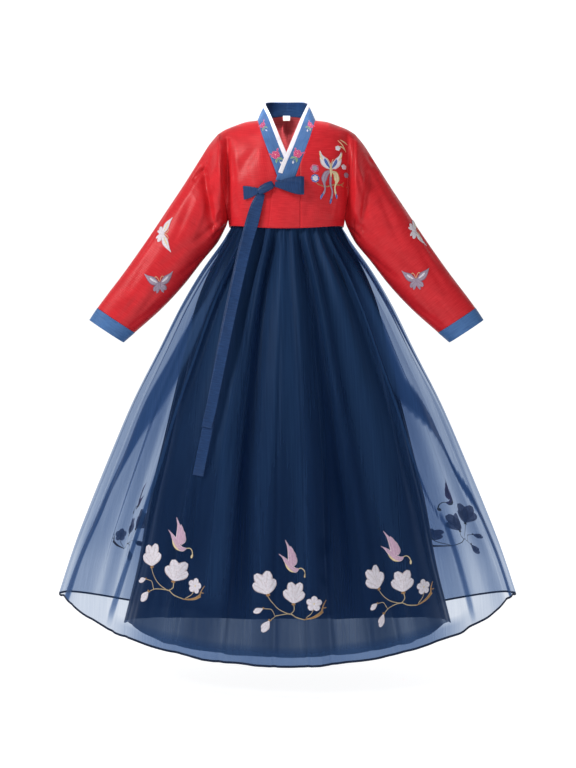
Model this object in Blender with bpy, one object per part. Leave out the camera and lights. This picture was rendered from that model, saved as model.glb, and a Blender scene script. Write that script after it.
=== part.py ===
"""Korean hanbok: a short wrapped jacket over a long gathered skirt of sheer organza and a lining.

Metres, +Z up. The origin lies midway between the shoulders at the height of the side of the neck,
where the wearer holds the garment up. The front faces -Y and +X is the wearer's left side.
Every cut piece of cloth is one closed wall, and sewn pieces stand a seam gap apart.
"""

import math

import bmesh
import bpy
import numpy as np
from mathutils import Vector
from mathutils.bvhtree import BVHTree

# ---------------------------------------------------------------- driving dimensions, in metres
SEAM = 0.0004                  # gap left between two pieces that are sewn together
JACKET_CLOTH = 0.0012          # wall thickness of each cloth
COLLAR_CLOTH = 0.0012
EDGING_CLOTH = 0.0010
RIBBON_CLOTH = 0.0010
SKIRT_CLOTH = 0.0010
BAND_CLOTH = 0.0024
HEM_ROLL = 0.0016
LAYER = 0.0004                 # gap between two layers that lie on each other

# jacket body: half the chest, seen from the front, is a quarter of a rounded oval
CHEST_HALF_WIDTH = 0.1475
SIDE_HEM_Z = -0.2695
HEM_CENTRE_Z = {"front": -0.2850, "back": -0.2780}
CHEST_DEPTH = {"front": 0.1170, "back": 0.1030}
SHOULDER_ROUNDING = {"front": 3.0, "back": 7.0}
HEM_TUCK = 0.05                # share by which the body narrows from chest to hem
TUCK_LEVEL = 0.3               # share of the height, from the hem, over which it narrows
RIDGE_CENTRE_Z = {"front": 0.0300, "back": 0.0550}
RIDGE_ARCH = {"front": 1.0, "back": 2.0}
RIDGE = {"x": (0.0745, 0.1002, 0.1310, 0.1568, 0.1760),
         "z": (0.0030, 0.0000, -0.0099, -0.0202, -0.0320)}
NECK_SIDE = (0.0745, 0.0030)   # x and z where collar, front and back meet on the shoulder
SHOULDER_POINT = (0.1760, -0.0320)
ARMPIT = (0.1500, -0.2515)
ARMHOLE_DEPTH = {"front": 0.0580, "back": 0.0520}
ARMHOLE_STEPS = 10             # rows between armpit and shoulder on each side
HALVINGS = 40                  # steps of each search by halving
UPPER_FRONT_COLUMNS = 9        # columns of points across each front panel
UNDER_FRONT_COLUMNS = 12
NECK_COLUMNS = 5               # columns of a back panel below the neck and below the shoulder
SHOULDER_COLUMNS = 5
SHOULDER_OUT = (0.36, 0.0, 0.933)  # direction out of the back panel along its shoulder seam

# front neckline, wearer's left side, and the edges of the two overlapping fronts
NECKLINE = {"z": (-0.1750, -0.1500, -0.0885, -0.0460, 0.0030),
            "x": (0.0160, 0.0246, 0.0466, 0.0612, 0.0745)}
UNDER_EDGE = {"z": (-0.2850, -0.1750), "x": (-0.0080, 0.0160)}
GUSSET_SEAM_X = 0.0345
GUSSET_HEM_X = -0.0460         # free edge at the hem, and the x and z of its upper end
GUSSET_TOP_LEFT = (-0.0340, -0.1775)
GUSSET_GAP = 0.00064           # from the collar's seam line to the gusset's edge
GUSSET_ROWS = 6
GUSSET_END_STEPS = 5           # columns of the gusset below the collar's end
UNDER_STEP = 0.0036            # how far the right front lies behind the left one
UNDER_RAMP = (0.0700, 0.0450)  # from the neck side to the centre, where the step grows

# half of the collar: the free edge against the seam, from the centre back to the shoulder and
# from the shoulder to the lower end
BACK_NECK_DEPTH = 0.0700       # of the neck seam at the centre back
LOWEST_NECK_LEVEL = 0.5        # the back neck seam is above this level
COLLAR_BACK = {"seam_x": (0.0000, 0.0300, 0.0520, 0.0680, 0.0745),
               "edge_x": (0.0000, 0.0270, 0.0440, 0.0530, 0.0545),
               "edge_y": (0.0620, 0.0540, 0.0370, 0.0160, 0.0000),
               "edge_z": (0.0630, 0.0618, 0.0580, 0.0520, 0.0465)}
COLLAR_FRONT = {"seam_z": (0.0030, -0.0210, -0.0460, -0.0885, -0.1500, -0.1745),
                "edge_x": (0.0545, 0.0385, 0.0250, 0.0078, -0.0168, -0.0270),
                "edge_y": (0.0000, -0.0330, -0.0600, -0.0890, -0.1122, -0.1150),
                "edge_z": (0.0465, 0.0080, -0.0280, -0.0740, -0.1355, -0.1660)}
COLLAR_END_Z = -0.1745
COLLAR_ROW_GAP = 0.0050        # least height between its end and the next point of its seam
NECK_LEAN = 0.4                # share of the height in telling the collar's outside from its inside
COLLAR_SUNK = 0.25             # extra sink of the under collar per metre past the centre line
EDGING_WIDTH = 0.0110          # white edge strip on the collar
EDGING_END_Z = -0.1600         # where the seam is when the strip stops

# sleeve, wearer's left: lines of its outer and inner edge and its half depth, shoulder to cuff
SLEEVE = {"along": (0.000, 0.060, 0.140, 0.270, 0.420, 0.560, 0.720, 0.930, 1.000),
          "outer_x": (0.1760, 0.1985, 0.2222, 0.2625, 0.3115, 0.3545, 0.4145, 0.4855, 0.5060),
          "outer_z": (-0.0320, -0.0590, -0.0960, -0.1600, -0.2335, -0.2980, -0.3830, -0.4777, -0.5085),
          "inner_x": (0.1500, 0.1530, 0.1600, 0.1755, 0.2150, 0.2625, 0.3190, 0.3900, 0.4190),
          "inner_z": (-0.2515, -0.2620, -0.2780, -0.3070, -0.3555, -0.4168, -0.4777, -0.5410, -0.5660),
          "front": (0.0580, 0.0540, 0.0560, 0.0580, 0.0560, 0.0530, 0.0480, 0.0390, 0.0370),
          "back": (0.0520, 0.0500, 0.0520, 0.0560, 0.0560, 0.0530, 0.0480, 0.0390, 0.0370)}
CUFF_SEAM = 0.930              # where the cuff is sewn on, as a share of the sleeve
# soft folds of the sleeve: turn runs from the outer edge over the front (0 to 180) to the back
SLEEVE_FOLDS = ({"turn": 62, "start": 0.02, "end": 0.26, "width": 17, "depth": 0.0090},
                {"turn": 112, "start": 0.10, "end": 0.40, "width": 20, "depth": 0.0080},
                {"turn": 140, "start": 0.03, "end": 0.30, "width": 16, "depth": 0.0085},
                {"turn": 238, "start": 0.06, "end": 0.36, "width": 20, "depth": 0.0080},
                {"turn": 290, "start": 0.02, "end": 0.25, "width": 17, "depth": 0.0080})

# skirt: outline of the organza and of the lining under it, in the side, front and back views
ORGANZA = {"side_z": (-0.2500, -0.2695, -0.2900, -0.3130, -0.3750, -0.4670,
                      -0.5910, -0.7140, -0.8370, -0.9610, -1.0840, -1.2080),
           "centre_x": (0.0000, 0.0000, 0.0000, 0.0000, 0.0000, 0.0000,
                        0.0000, 0.0005, 0.0010, 0.0015, 0.0020, 0.0025),
           "half_width": (0.1405, 0.1440, 0.1570, 0.1735, 0.2195, 0.2755,
                          0.3370, 0.3980, 0.4505, 0.5015, 0.5490, 0.5900),
           "front_z": (-0.2500, -0.2850, -0.3100, -0.3380, -0.4050, -0.5050,
                       -0.6400, -0.7720, -0.9030, -1.0400, -1.1800, -1.3250),
           "front_depth": (0.1030, 0.1062, 0.1180, 0.1320, 0.1600, 0.1930,
                           0.2300, 0.2600, 0.2850, 0.3020, 0.3180, 0.3300),
           "back_z": (-0.2500, -0.2780, -0.3020, -0.3280, -0.3950, -0.4920,
                      -0.6220, -0.7520, -0.8820, -1.0150, -1.1550, -1.3130),
           "back_depth": (0.0930, 0.0962, 0.1080, 0.1220, 0.1500, 0.1820,
                          0.2180, 0.2460, 0.2690, 0.2850, 0.2990, 0.3100)}
LINING = {"side_z": (-0.2500, -0.2695, -0.2900, -0.3130, -0.3750, -0.4670,
                     -0.5910, -0.7140, -0.8370, -0.9710, -1.1250, -1.2850),
          "centre_x": (0.0000, 0.0000, 0.0000, 0.0000, 0.0000, 0.0000,
                       0.0000, 0.0005, 0.0010, 0.0015, 0.0020, 0.0025),
          "half_width": (0.1386, 0.1418, 0.1530, 0.1655, 0.2000, 0.2380,
                         0.2680, 0.2970, 0.3260, 0.3585, 0.3850, 0.4240),
          "front_z": (-0.2500, -0.2850, -0.3100, -0.3380, -0.4050, -0.5050,
                      -0.6400, -0.7720, -0.9030, -1.0400, -1.1900, -1.3200),
          "front_depth": (0.1012, 0.1042, 0.1135, 0.1250, 0.1480, 0.1740,
                          0.1980, 0.2150, 0.2290, 0.2400, 0.2490, 0.2580),
          "back_z": (-0.2500, -0.2780, -0.3020, -0.3280, -0.3950, -0.4920,
                     -0.6220, -0.7520, -0.8820, -1.0200, -1.1700, -1.3180),
          "back_depth": (0.0912, 0.0942, 0.1035, 0.1150, 0.1380, 0.1640,
                         0.1880, 0.2040, 0.2180, 0.2300, 0.2420, 0.2520)}
ORGANZA_ROWS = (0.0, 1.0, 2.0, 3.0, 4.0, 5.0, 6.3, 7.8, 9.4, 11.0)
LINING_ROWS = (0.0, 1.0, 2.0, 3.0, 4.0, 5.5, 8.0, 11.0)
BAND_TOP_Z = -0.1750
BAND_TOP_SHARE = 0.985         # the band's upper edge against its lower edge
BAND_STEP = 7.5                # degrees between the band's columns
HEM_ROLL_HEIGHT = 0.0050

# folds of the skirt: turn is counted from the centre front towards the wearer's left, in degrees,
# and each valley's depth is given at the band, a third of the way down, and at the hem
FOLD_COLUMNS = ("turn", "width", "top", "middle", "hem")
SKIRT_FOLDS = ((-174, 5.0, 0.0030, 0.0110, 0.0130), (-160, 4.5, 0.0040, 0.0140, 0.0180),
               (-147, 5.5, 0.0030, 0.0090, 0.0100), (-134, 4.6, 0.0040, 0.0130, 0.0170),
               (-122, 5.0, 0.0030, 0.0100, 0.0090), (-109, 5.2, 0.0035, 0.0140, 0.0190),
               (-96, 4.8, 0.0030, 0.0100, 0.0120), (-82.5, 4.6, 0.0035, 0.0110, 0.0130),
               (-67, 4.2, 0.0040, 0.0150, 0.0210), (-51, 5.0, 0.0035, 0.0110, 0.0140),
               (-37, 4.6, 0.0040, 0.0140, 0.0100), (-25, 4.2, 0.0045, 0.0150, 0.0120),
               (-11, 4.0, 0.0045, 0.0180, 0.0150), (2, 3.4, 0.0025, 0.0050, 0.0060),
               (13, 4.2, 0.0045, 0.0170, 0.0140), (26, 4.6, 0.0035, 0.0120, 0.0080),
               (38, 4.4, 0.0040, 0.0140, 0.0120), (50, 4.8, 0.0035, 0.0110, 0.0130),
               (61.5, 4.2, 0.0040, 0.0150, 0.0200), (72.5, 4.4, 0.0030, 0.0100, 0.0120),
               (83.5, 4.4, 0.0035, 0.0110, 0.0120), (97, 5.2, 0.0030, 0.0130, 0.0180),
               (113, 4.8, 0.0040, 0.0100, 0.0100), (128.5, 4.4, 0.0030, 0.0140, 0.0170),
               (144, 5.2, 0.0040, 0.0100, 0.0120), (157, 4.6, 0.0030, 0.0130, 0.0170),
               (171, 5.0, 0.0035, 0.0100, 0.0090))
LINING_FOLD_SHARE = 0.55       # how deep the lining's folds are against the organza's, low down
FOLD_MIDDLE_ROW = 4.0
FOLD_SHOULDER = 1.2            # columns stand this many fold widths to each side of a valley

# panels of the skirt, as turns round the body near which their seams lie, on the nearest crest
ORGANZA_PANELS = {"organza_front": (-102.0, 102.0), "organza_back_left": (102.0, 180.0),
                  "organza_back_right": (180.0, 258.0)}
LINING_PANELS = {"lining_front": (-92.0, 92.0), "lining_back": (92.0, 268.0)}

# ribbon tie: path points of each stretch, in the front view, with its width
KNOT = {"x": (-0.0700, -0.0605, -0.0490, -0.0385, -0.0328),
        "z": (-0.1960, -0.1900, -0.1835, -0.1780, -0.1745),
        "half_height": (0.0070, 0.0105, 0.0110, 0.0100, 0.0075),
        "half_depth": (0.0040, 0.0070, 0.0085, 0.0070, 0.0040)}
LOOP = {"along": (0.00, 0.20, 0.45, 0.72, 0.92, 1.00),
        "half_width": (0.0062, 0.0100, 0.0160, 0.0208, 0.0222, 0.0222),
        "bulge": (0.0024, 0.0046, 0.0070, 0.0072, 0.0052, 0.0008)}
KNOT_COLUMNS = 12
LOOP_STEPS = 9
LOOP_COLUMNS = 4
LOOP_EASE = 0.15               # how far the loop's steps crowd towards its two ends
LOOP_START = (-0.0284, -0.1775)
LOOP_END = (0.0440, -0.1805)
SHORT_END = {"x": (-0.0700, -0.0790, -0.0900, -0.1000, -0.1080),
             "z": (-0.1915, -0.1925, -0.1935, -0.1940, -0.1945),
             "half_width": (0.0060, 0.0100, 0.0140, 0.0165, 0.0172)}
TAIL_LONG = {"x": (-0.0640, -0.0760, -0.0900, -0.1080, -0.1250, -0.1450, -0.1700, -0.1880, -0.2120),
             "z": (-0.1985, -0.2300, -0.2800, -0.3500, -0.4300, -0.5300, -0.6700, -0.7700, -0.8930),
             "half_width": (0.0080, 0.0135, 0.0155, 0.0145, 0.0135, 0.0132, 0.0132, 0.0130, 0.0128)}
TAIL_SHORT = {"x": (-0.0610, -0.0730, -0.0870, -0.1045, -0.1215, -0.1415, -0.1660, -0.1810, -0.1920),
              "z": (-0.1985, -0.2300, -0.2800, -0.3500, -0.4300, -0.5300, -0.6550, -0.7300, -0.7780),
              "half_width": (0.0080, 0.0130, 0.0150, 0.0142, 0.0133, 0.0130, 0.0130, 0.0128, 0.0126)}
TAIL_LONG_STEPS = 26
TAIL_SHORT_STEPS = 23
SHORT_END_STEPS = 7
TAIL_LIFT = 0.0010             # air between a tail and the highest fold under it

LABEL_WIDTH = 0.0190
LABEL_HEIGHT = 0.0130
LABEL_CLOTH = 0.0010
LABEL_GAP = 0.0006             # between the label and the cloth behind it
LABEL_TOP_Z = 0.0215
LABEL_ROWS = 4
LABEL_COLUMNS = 5

# shading: edges sharper than this, in degrees, stay crisp
SHARP_ANGLE = 50
KNOT_SHARP_ANGLE = 60

# colour as red, green and blue in linear light, with roughness
FINISHES = {"jacket_satin": ((0.600, 0.040, 0.045), 0.45),
            "collar_satin": ((0.090, 0.195, 0.430), 0.45),
            "ribbon_satin": ((0.035, 0.085, 0.200), 0.50),
            "edging_cotton": ((0.800, 0.820, 0.900), 0.70),
            "organza": ((0.080, 0.140, 0.300), 0.55),
            "lining": ((0.020, 0.050, 0.130), 0.60),
            "label_satin": ((0.850, 0.850, 0.860), 0.60)}


# ---------------------------------------------------------------- small helpers
def smooth_value(places, values, place):
    """Read a table between its rows, along a smooth curve that does not overshoot."""
    places = np.asarray(places, dtype=float)
    values = np.asarray(values, dtype=float)
    if places[0] > places[-1]:
        places, values = places[::-1], values[::-1]
    gaps = np.diff(places)
    slopes = np.diff(values) / gaps
    tangents = np.empty(len(values))
    tangents[0], tangents[-1] = slopes[0], slopes[-1]
    for i in range(1, len(values) - 1):
        if slopes[i - 1] * slopes[i] <= 0.0:
            tangents[i] = 0.0
        else:
            tangents[i] = 2.0 * slopes[i - 1] * slopes[i] / (slopes[i - 1] + slopes[i])
    place = min(max(place, places[0]), places[-1])
    i = min(int(np.searchsorted(places, place, side="right")) - 1, len(gaps) - 1)
    s = (place - places[i]) / gaps[i]
    rise = values[i + 1] - values[i]
    start = tangents[i] * gaps[i]
    end = tangents[i + 1] * gaps[i]
    return float(values[i] + s * start + s * s * (3 * rise - 2 * start - end)
                 + s ** 3 * (start + end - 2 * rise))


def blend(a, b, share):
    """A value between a and b."""
    return a + (b - a) * share


def ease(share):
    """Run smoothly from 0 to 1."""
    share = min(max(share, 0.0), 1.0)
    return share * share * (3.0 - 2.0 * share)


def make_material(name):
    """Principled material with one of the finishes."""
    colour, roughness = FINISHES[name]
    material = bpy.data.materials.get(name)
    if material is None:
        material = bpy.data.materials.new(name)
        material.use_nodes = True
        shader = material.node_tree.nodes["Principled BSDF"]
        shader.inputs["Base Color"].default_value = (*colour, 1.0)
        shader.inputs["Roughness"].default_value = roughness
        shader.inputs["Metallic"].default_value = 0.0
        material.diffuse_color = (*colour, 1.0)
    return material


def grid_normals(points, closed):
    """Unit normals of a grid of points, from its rows and columns."""
    across = np.empty_like(points)
    if closed:
        across = np.roll(points, -1, axis=1) - np.roll(points, 1, axis=1)
    else:
        across[:, 1:-1] = points[:, 2:] - points[:, :-2]
        across[:, 0] = points[:, 1] - points[:, 0]
        across[:, -1] = points[:, -1] - points[:, -2]
    along = np.empty_like(points)
    along[1:-1] = points[2:] - points[:-2]
    along[0] = points[1] - points[0]
    along[-1] = points[-1] - points[-2]
    normals = np.cross(across, along)
    length = np.linalg.norm(normals, axis=2, keepdims=True)
    return normals / np.maximum(length, 1e-12)


def add_square(mesh, a, b, c, d):
    """Two triangles between four corners, split from the first corner to the third."""
    mesh.faces.new((a, b, c))
    mesh.faces.new((a, c, d))


def add_wall(name, finish, outer, inner, closed=False):
    """Close two matching grids of points into one wall of cloth and add it to the scene."""
    rows, columns = outer.shape[:2]
    mesh = bmesh.new()
    up = [[mesh.verts.new(point) for point in row] for row in outer]
    down = [[mesh.verts.new(point) for point in row] for row in inner]
    last = columns if closed else columns - 1
    for r in range(rows - 1):
        for c in range(last):
            d = (c + 1) % columns
            add_square(mesh, up[r][c], up[r][d], up[r + 1][d], up[r + 1][c])
            add_square(mesh, down[r][c], down[r + 1][c], down[r + 1][d], down[r][d])
    for r in (0, rows - 1):
        for c in range(last):
            d = (c + 1) % columns
            add_square(mesh, up[r][c], down[r][c], down[r][d], up[r][d])
    if not closed:
        for c in (0, columns - 1):
            for r in range(rows - 1):
                add_square(mesh, up[r][c], up[r + 1][c], down[r + 1][c], down[r][c])
    bmesh.ops.recalc_face_normals(mesh, faces=mesh.faces)
    data = bpy.data.meshes.new(name)
    mesh.to_mesh(data)
    mesh.free()
    data.shade_smooth()
    data.set_sharp_from_angle(angle=math.radians(SHARP_ANGLE))
    data.materials.append(make_material(finish))
    item = bpy.data.objects.new(name, data)
    bpy.context.scene.collection.objects.link(item)
    return item


def mirrored(points):
    """The same points on the wearer's other side."""
    return points * np.array((-1.0, 1.0, 1.0))


# ---------------------------------------------------------------- jacket body
def hem_height(side, x):
    """Height of the jacket's hem, lower at the centre than at the side seam."""
    share = min(abs(x) / CHEST_HALF_WIDTH, 1.0) ** 2
    return blend(HEM_CENTRE_Z[side], SIDE_HEM_Z, share)


def ridge_height(side, x):
    """Height of the shoulder line over x, carried on in a low arch over the neck."""
    if abs(x) < NECK_SIDE[0]:
        return blend(RIDGE_CENTRE_Z[side], NECK_SIDE[1], (abs(x) / NECK_SIDE[0]) ** RIDGE_ARCH[side])
    return smooth_value(RIDGE["x"], RIDGE["z"], abs(x))


def body_height(side, x, level):
    """Height at x of a level, which is 0 at the hem and 1 on the shoulder line."""
    low = hem_height(side, x)
    return low + level * (ridge_height(side, x) - low)


def level_of(side, x, z):
    """Level of a point of the body seen from the front."""
    low = hem_height(side, x)
    return (z - low) / (ridge_height(side, x) - low)


def centre_depth(side, level):
    """How far the centre line of the body stands from the shoulder plane."""
    tuck = 1.0 - HEM_TUCK * max(0.0, 1.0 - level / TUCK_LEVEL) ** 2
    return CHEST_DEPTH[side] * tuck * math.sqrt(max(0.0, 1.0 - level ** SHOULDER_ROUNDING[side]))


def armhole_point(side, angle):
    """Point of the armhole: angle 0 is the shoulder, pi is the armpit."""
    share = (1.0 + math.cos(angle)) / 2.0
    x = blend(ARMPIT[0], SHOULDER_POINT[0], share)
    z = blend(ARMPIT[1], SHOULDER_POINT[1], share)
    return x, ARMHOLE_DEPTH[side] * math.sin(angle), z


def armhole_normal(side, angle):
    """Direction out of the armhole's ring, in its own plane."""
    half = (np.array((SHOULDER_POINT[0], 0.0, SHOULDER_POINT[1]))
            - np.array((ARMPIT[0], 0.0, ARMPIT[1]))) / 2.0
    reach = np.linalg.norm(half)
    sign = -1.0 if side == "front" else 1.0
    out = half / reach * math.cos(angle) * ARMHOLE_DEPTH[side]
    out = out + np.array((0.0, sign, 0.0)) * math.sin(angle) * reach
    return out / np.linalg.norm(out)


def corner_angle():
    """Armhole angle level with the corner where gusset, left front and collar meet."""
    z = smooth_value(NECKLINE["x"], NECKLINE["z"], GUSSET_SEAM_X)
    wanted = level_of("front", GUSSET_SEAM_X, z)
    low, high = 0.0, math.pi
    for _ in range(HALVINGS):
        middle = (low + high) / 2.0
        x, _, z = armhole_point("front", middle)
        if level_of("front", x, z) > wanted:
            low = middle
        else:
            high = middle
    return low


def armhole_angles():
    """Angles of the armhole's points from armpit to shoulder, one of them level with the corner."""
    angles = [math.pi * (1.0 - step / ARMHOLE_STEPS) for step in range(ARMHOLE_STEPS + 1)]
    corner = corner_angle()
    nearest = min(range(1, ARMHOLE_STEPS), key=lambda i: abs(angles[i] - corner))
    angles[nearest] = corner
    return angles


ANGLES = armhole_angles()


def body_rows(side):
    """Rows of the body from hem to shoulder: level, outer x, outer depth and the armhole angle."""
    rows = []
    for share in (0.0, 0.5):
        x = blend(CHEST_HALF_WIDTH, ARMPIT[0], share)
        z = blend(SIDE_HEM_Z, ARMPIT[1], share)
        rows.append((level_of(side, x, z), x, 0.0, None))
    for angle in ANGLES:
        x, depth, z = armhole_point(side, angle)
        rows.append((level_of(side, x, z), x, depth, angle))
    return rows


ROWS = {side: body_rows(side) for side in ("front", "back")}


def oval_width(side, level):
    """Half width of the oval on which the body's row at this level lies."""
    levels = [row[0] for row in ROWS[side]]
    x = float(np.interp(level, levels, [row[1] for row in ROWS[side]]))
    depth = float(np.interp(level, levels, [row[2] for row in ROWS[side]]))
    centre = max(centre_depth(side, level), 1e-6)
    share = min(depth / centre, 0.999)
    return x / math.sqrt(1.0 - share * share)


def body_point(side, x, level):
    """Point on the jacket's outer face."""
    width = oval_width(side, level)
    share = min(abs(x) / width, 1.0)
    depth = centre_depth(side, level) * math.sqrt(max(0.0, 1.0 - share * share))
    sign = -1.0 if side == "front" else 1.0
    return np.array((x, sign * (depth + SEAM / 2.0), body_height(side, x, level)))


def neckline_x(level):
    """Where a level of the front meets the neckline or, below it, the under front's free edge."""
    x = NECKLINE["x"][2]
    for _ in range(HALVINGS):
        z = body_height("front", x, level)
        line = NECKLINE if z >= NECKLINE["z"][0] else UNDER_EDGE
        x = smooth_value(line["z"], line["x"], z)
    return x


def under_step(x):
    """How far the right front and its collar lie behind the left ones, with x towards their side."""
    share = (UNDER_RAMP[0] - x) / (UNDER_RAMP[0] - UNDER_RAMP[1])
    return UNDER_STEP * ease(share)


def row_points(side, level, x_in, x_out, columns):
    """Points of one row, closer together where the body turns to the side."""
    width = oval_width(side, level)
    start = math.asin(max(min(x_in / width, 1.0), -1.0))
    end = math.asin(min(x_out / width, 1.0))
    return [body_point(side, width * math.sin(blend(start, end, c / (columns - 1))), level)
            for c in range(columns)]


def panel_normals(points, side, top_is_ridge=True):
    """Normals of a body panel, square to each seam so that its neighbours meet wall to wall."""
    normals = grid_normals(points, closed=False)
    sign = -1.0 if side == "front" else 1.0
    flip = np.sign((normals[:, :, 1] * sign).sum())
    normals = normals * flip
    for r, row in enumerate(ROWS[side]):
        if row[3] is None:
            normals[r, -1] = (1.0, 0.0, 0.0)
        else:
            normals[r, -1] = armhole_normal(side, row[3])
    if top_is_ridge:
        slope = points[-1, 1:] - points[-1, :-1]
        for c in range(points.shape[1]):
            run = slope[min(c, len(slope) - 1)]
            up = np.array((-run[2], 0.0, run[0]))
            normals[-1, c] = up / np.linalg.norm(up)
    return normals


def front_panel(columns, least_x):
    """Outer face of a front, wearer's left, from the neckline or least_x out to the armhole."""
    rows = []
    for level, x_out, _, _ in ROWS["front"]:
        x_in = max(neckline_x(level), least_x)
        rows.append(row_points("front", level, x_in + SEAM, x_out - SEAM / 2.0, columns))
    return np.array(rows)


def make_left_front():
    """Upper front: from the gusset seam and the collar to the side seam and armhole."""
    points = front_panel(UPPER_FRONT_COLUMNS, GUSSET_SEAM_X)
    normals = panel_normals(points, "front")
    return add_wall("jacket_front_left", "jacket_satin", points, points - normals * JACKET_CLOTH)


def make_right_front():
    """Under front, which passes behind the left one as far as the centre."""
    points = front_panel(UNDER_FRONT_COLUMNS, UNDER_EDGE["x"][0])
    for row in points:
        for point in row:
            point[1] += under_step(point[0])
    normals = panel_normals(points, "front")
    outer = mirrored(points)
    inner = mirrored(points - normals * JACKET_CLOTH)
    return add_wall("jacket_front_right", "jacket_satin", outer, inner)


def gusset_top():
    """Upper edge of the gusset in the front view: under the collar's end, then along its seam."""
    line = front_seam(under=False)
    end = line[0]
    corner = (end[0] + SEAM, end[2] - 2.0 * SEAM)
    top = [(blend(GUSSET_TOP_LEFT[0], corner[0], share), blend(GUSSET_TOP_LEFT[1], corner[1], share))
           for share in np.linspace(0.0, 1.0, GUSSET_END_STEPS)]
    along = np.array((line[1][0] - end[0], line[1][2] - end[2]))
    out = np.array((along[1], -along[0])) / np.linalg.norm(along)
    for point in line[1:]:
        x, z = point[0] + out[0] * GUSSET_GAP, point[2] + out[1] * GUSSET_GAP
        if x < GUSSET_SEAM_X - 2.0 * SEAM:
            top.append((x, z))
    last = GUSSET_SEAM_X - SEAM
    top.append((last, top[-1][1] + (last - top[-1][0]) * along[1] / along[0]))
    return top


def make_gusset():
    """Overlap gusset on the left front, from its seam to the free front edge."""
    top = gusset_top()
    columns = len(top)
    rows = []
    for r in range(GUSSET_ROWS):
        row = []
        for c, (high_x, high_z) in enumerate(top):
            low_x = blend(GUSSET_HEM_X, GUSSET_SEAM_X - SEAM, c / (columns - 1))
            low_z = hem_height("front", low_x)
            x = blend(low_x, high_x, r / (GUSSET_ROWS - 1))
            z = blend(low_z, high_z, r / (GUSSET_ROWS - 1))
            row.append(body_point("front", x, level_of("front", x, z)))
        rows.append(row)
    points = np.array(rows)
    normals = grid_normals(points, closed=False)
    normals = normals * np.sign(-normals[:, :, 1].sum())
    return add_wall("jacket_gusset", "jacket_satin", points, points - normals * JACKET_CLOTH)


def front_seam(under):
    """Collar seam on a front, from the collar's lower end up to the shoulder, at the body's rows."""
    x = smooth_value(NECKLINE["z"], NECKLINE["x"], COLLAR_END_Z)
    points = [body_point("front", x, level_of("front", x, COLLAR_END_Z))]
    for level, _, _, _ in ROWS["front"]:
        x = neckline_x(level)
        if body_height("front", x, level) > COLLAR_END_Z + COLLAR_ROW_GAP:
            points.append(body_point("front", x, level))
    if under:
        for point in points:
            point[1] += under_step(point[0])
    return points


def back_neck_level(x):
    """Level at which the back panels end under the collar, along an oval round the neck."""
    if x >= NECK_SIDE[0]:
        return 1.0
    wanted = BACK_NECK_DEPTH * math.sqrt(1.0 - (x / NECK_SIDE[0]) ** 2)
    low, high = LOWEST_NECK_LEVEL, 1.0
    for _ in range(HALVINGS):
        middle = (low + high) / 2.0
        if body_point("back", x, middle)[1] > wanted:
            low = middle
        else:
            high = middle
    return low


def back_grid():
    """Outer face of the wearer's left back, from the centre-back seam to the armhole."""
    top_x = [NECK_SIDE[0] * math.sin(math.pi / 2.0 * c / NECK_COLUMNS) for c in range(NECK_COLUMNS)]
    top_x += list(np.linspace(NECK_SIDE[0] + SEAM, SHOULDER_POINT[0], SHOULDER_COLUMNS))
    rows = []
    for level, x_out, _, _ in ROWS["back"]:
        row = []
        for x_top in top_x:
            share = x_top / SHOULDER_POINT[0]
            width = oval_width("back", level)
            end = math.asin(min((x_out - SEAM / 2.0) / width, 1.0))
            start = math.asin(SEAM / 2.0 / width)
            even = blend(SEAM / 2.0, x_out - SEAM / 2.0, share)
            round_x = width * math.sin(blend(start, end, share))
            x = blend(round_x, even, level ** 3)
            row.append(body_point("back", x, level * back_neck_level(x_top)))
        rows.append(row)
    return np.array(rows), top_x


def make_back(name, to_wearers_right):
    """Back panel with its wall."""
    points, top_x = back_grid()
    normals = panel_normals(points, "back", top_is_ridge=False)
    for c, x_top in enumerate(top_x):
        if x_top >= NECK_SIDE[0]:
            normals[-1, c] = SHOULDER_OUT
    normals[:, 0] = normals[:, 0] * np.array((0.0, 1.0, 1.0))
    normals[:, 0] /= np.linalg.norm(normals[:, 0], axis=1, keepdims=True)
    inner = points - normals * JACKET_CLOTH
    if to_wearers_right:
        points, inner = mirrored(points), mirrored(inner)
    return add_wall(name, "jacket_satin", points, inner)


# ---------------------------------------------------------------- collar, edging and label
def half_collar(under):
    """Seam points and free edge points of half the collar, from the centre back to its lower end."""
    points, top_x = back_grid()
    seams, edges = [], []
    for point, x in zip(points[-1], top_x):
        if x < NECK_SIDE[0]:
            seams.append(point + np.array((0.0, 0.0, SEAM)))
            edges.append(np.array([smooth_value(COLLAR_BACK["seam_x"], COLLAR_BACK[column], x)
                                   for column in ("edge_x", "edge_y", "edge_z")]))
    seams[0][0] = 0.0
    for seam in reversed(front_seam(under)):
        edge = np.array([smooth_value(COLLAR_FRONT["seam_z"], COLLAR_FRONT[column], seam[2])
                         for column in ("edge_x", "edge_y", "edge_z")])
        if under:
            edge[1] += under_step(edge[0]) + COLLAR_SUNK * max(0.0, -edge[0])
        seams.append(seam)
        edges.append(edge)
    return halved(seams), halved(edges)


def halved(points):
    """A run of points with the middle of each stretch added."""
    result = [points[0]]
    for low, high in zip(points, points[1:]):
        result += [(low + high) / 2.0, high]
    return np.array(result)


def collar_lines():
    """Seam and free edge round the whole neck, from the upper lower end to the under one."""
    left_seam, left_edge = half_collar(under=False)
    right_seam, right_edge = half_collar(under=True)
    seam = np.concatenate((left_seam[::-1], mirrored(right_seam[1:])))
    edge = np.concatenate((left_edge[::-1], mirrored(right_edge[1:])))
    return seam, edge


def collar_grid():
    """Outer face of the collar: its last three columns carry the edging."""
    seam, edge = collar_lines()
    share = EDGING_WIDTH / np.linalg.norm(edge - seam, axis=1)[:, None]
    columns = [seam, blend(seam, edge, (1.0 - share) / 2.0), blend(seam, edge, 1.0 - share),
               blend(seam, edge, 1.0 - share / 2.0), edge]
    return np.stack(columns, axis=1)


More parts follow.
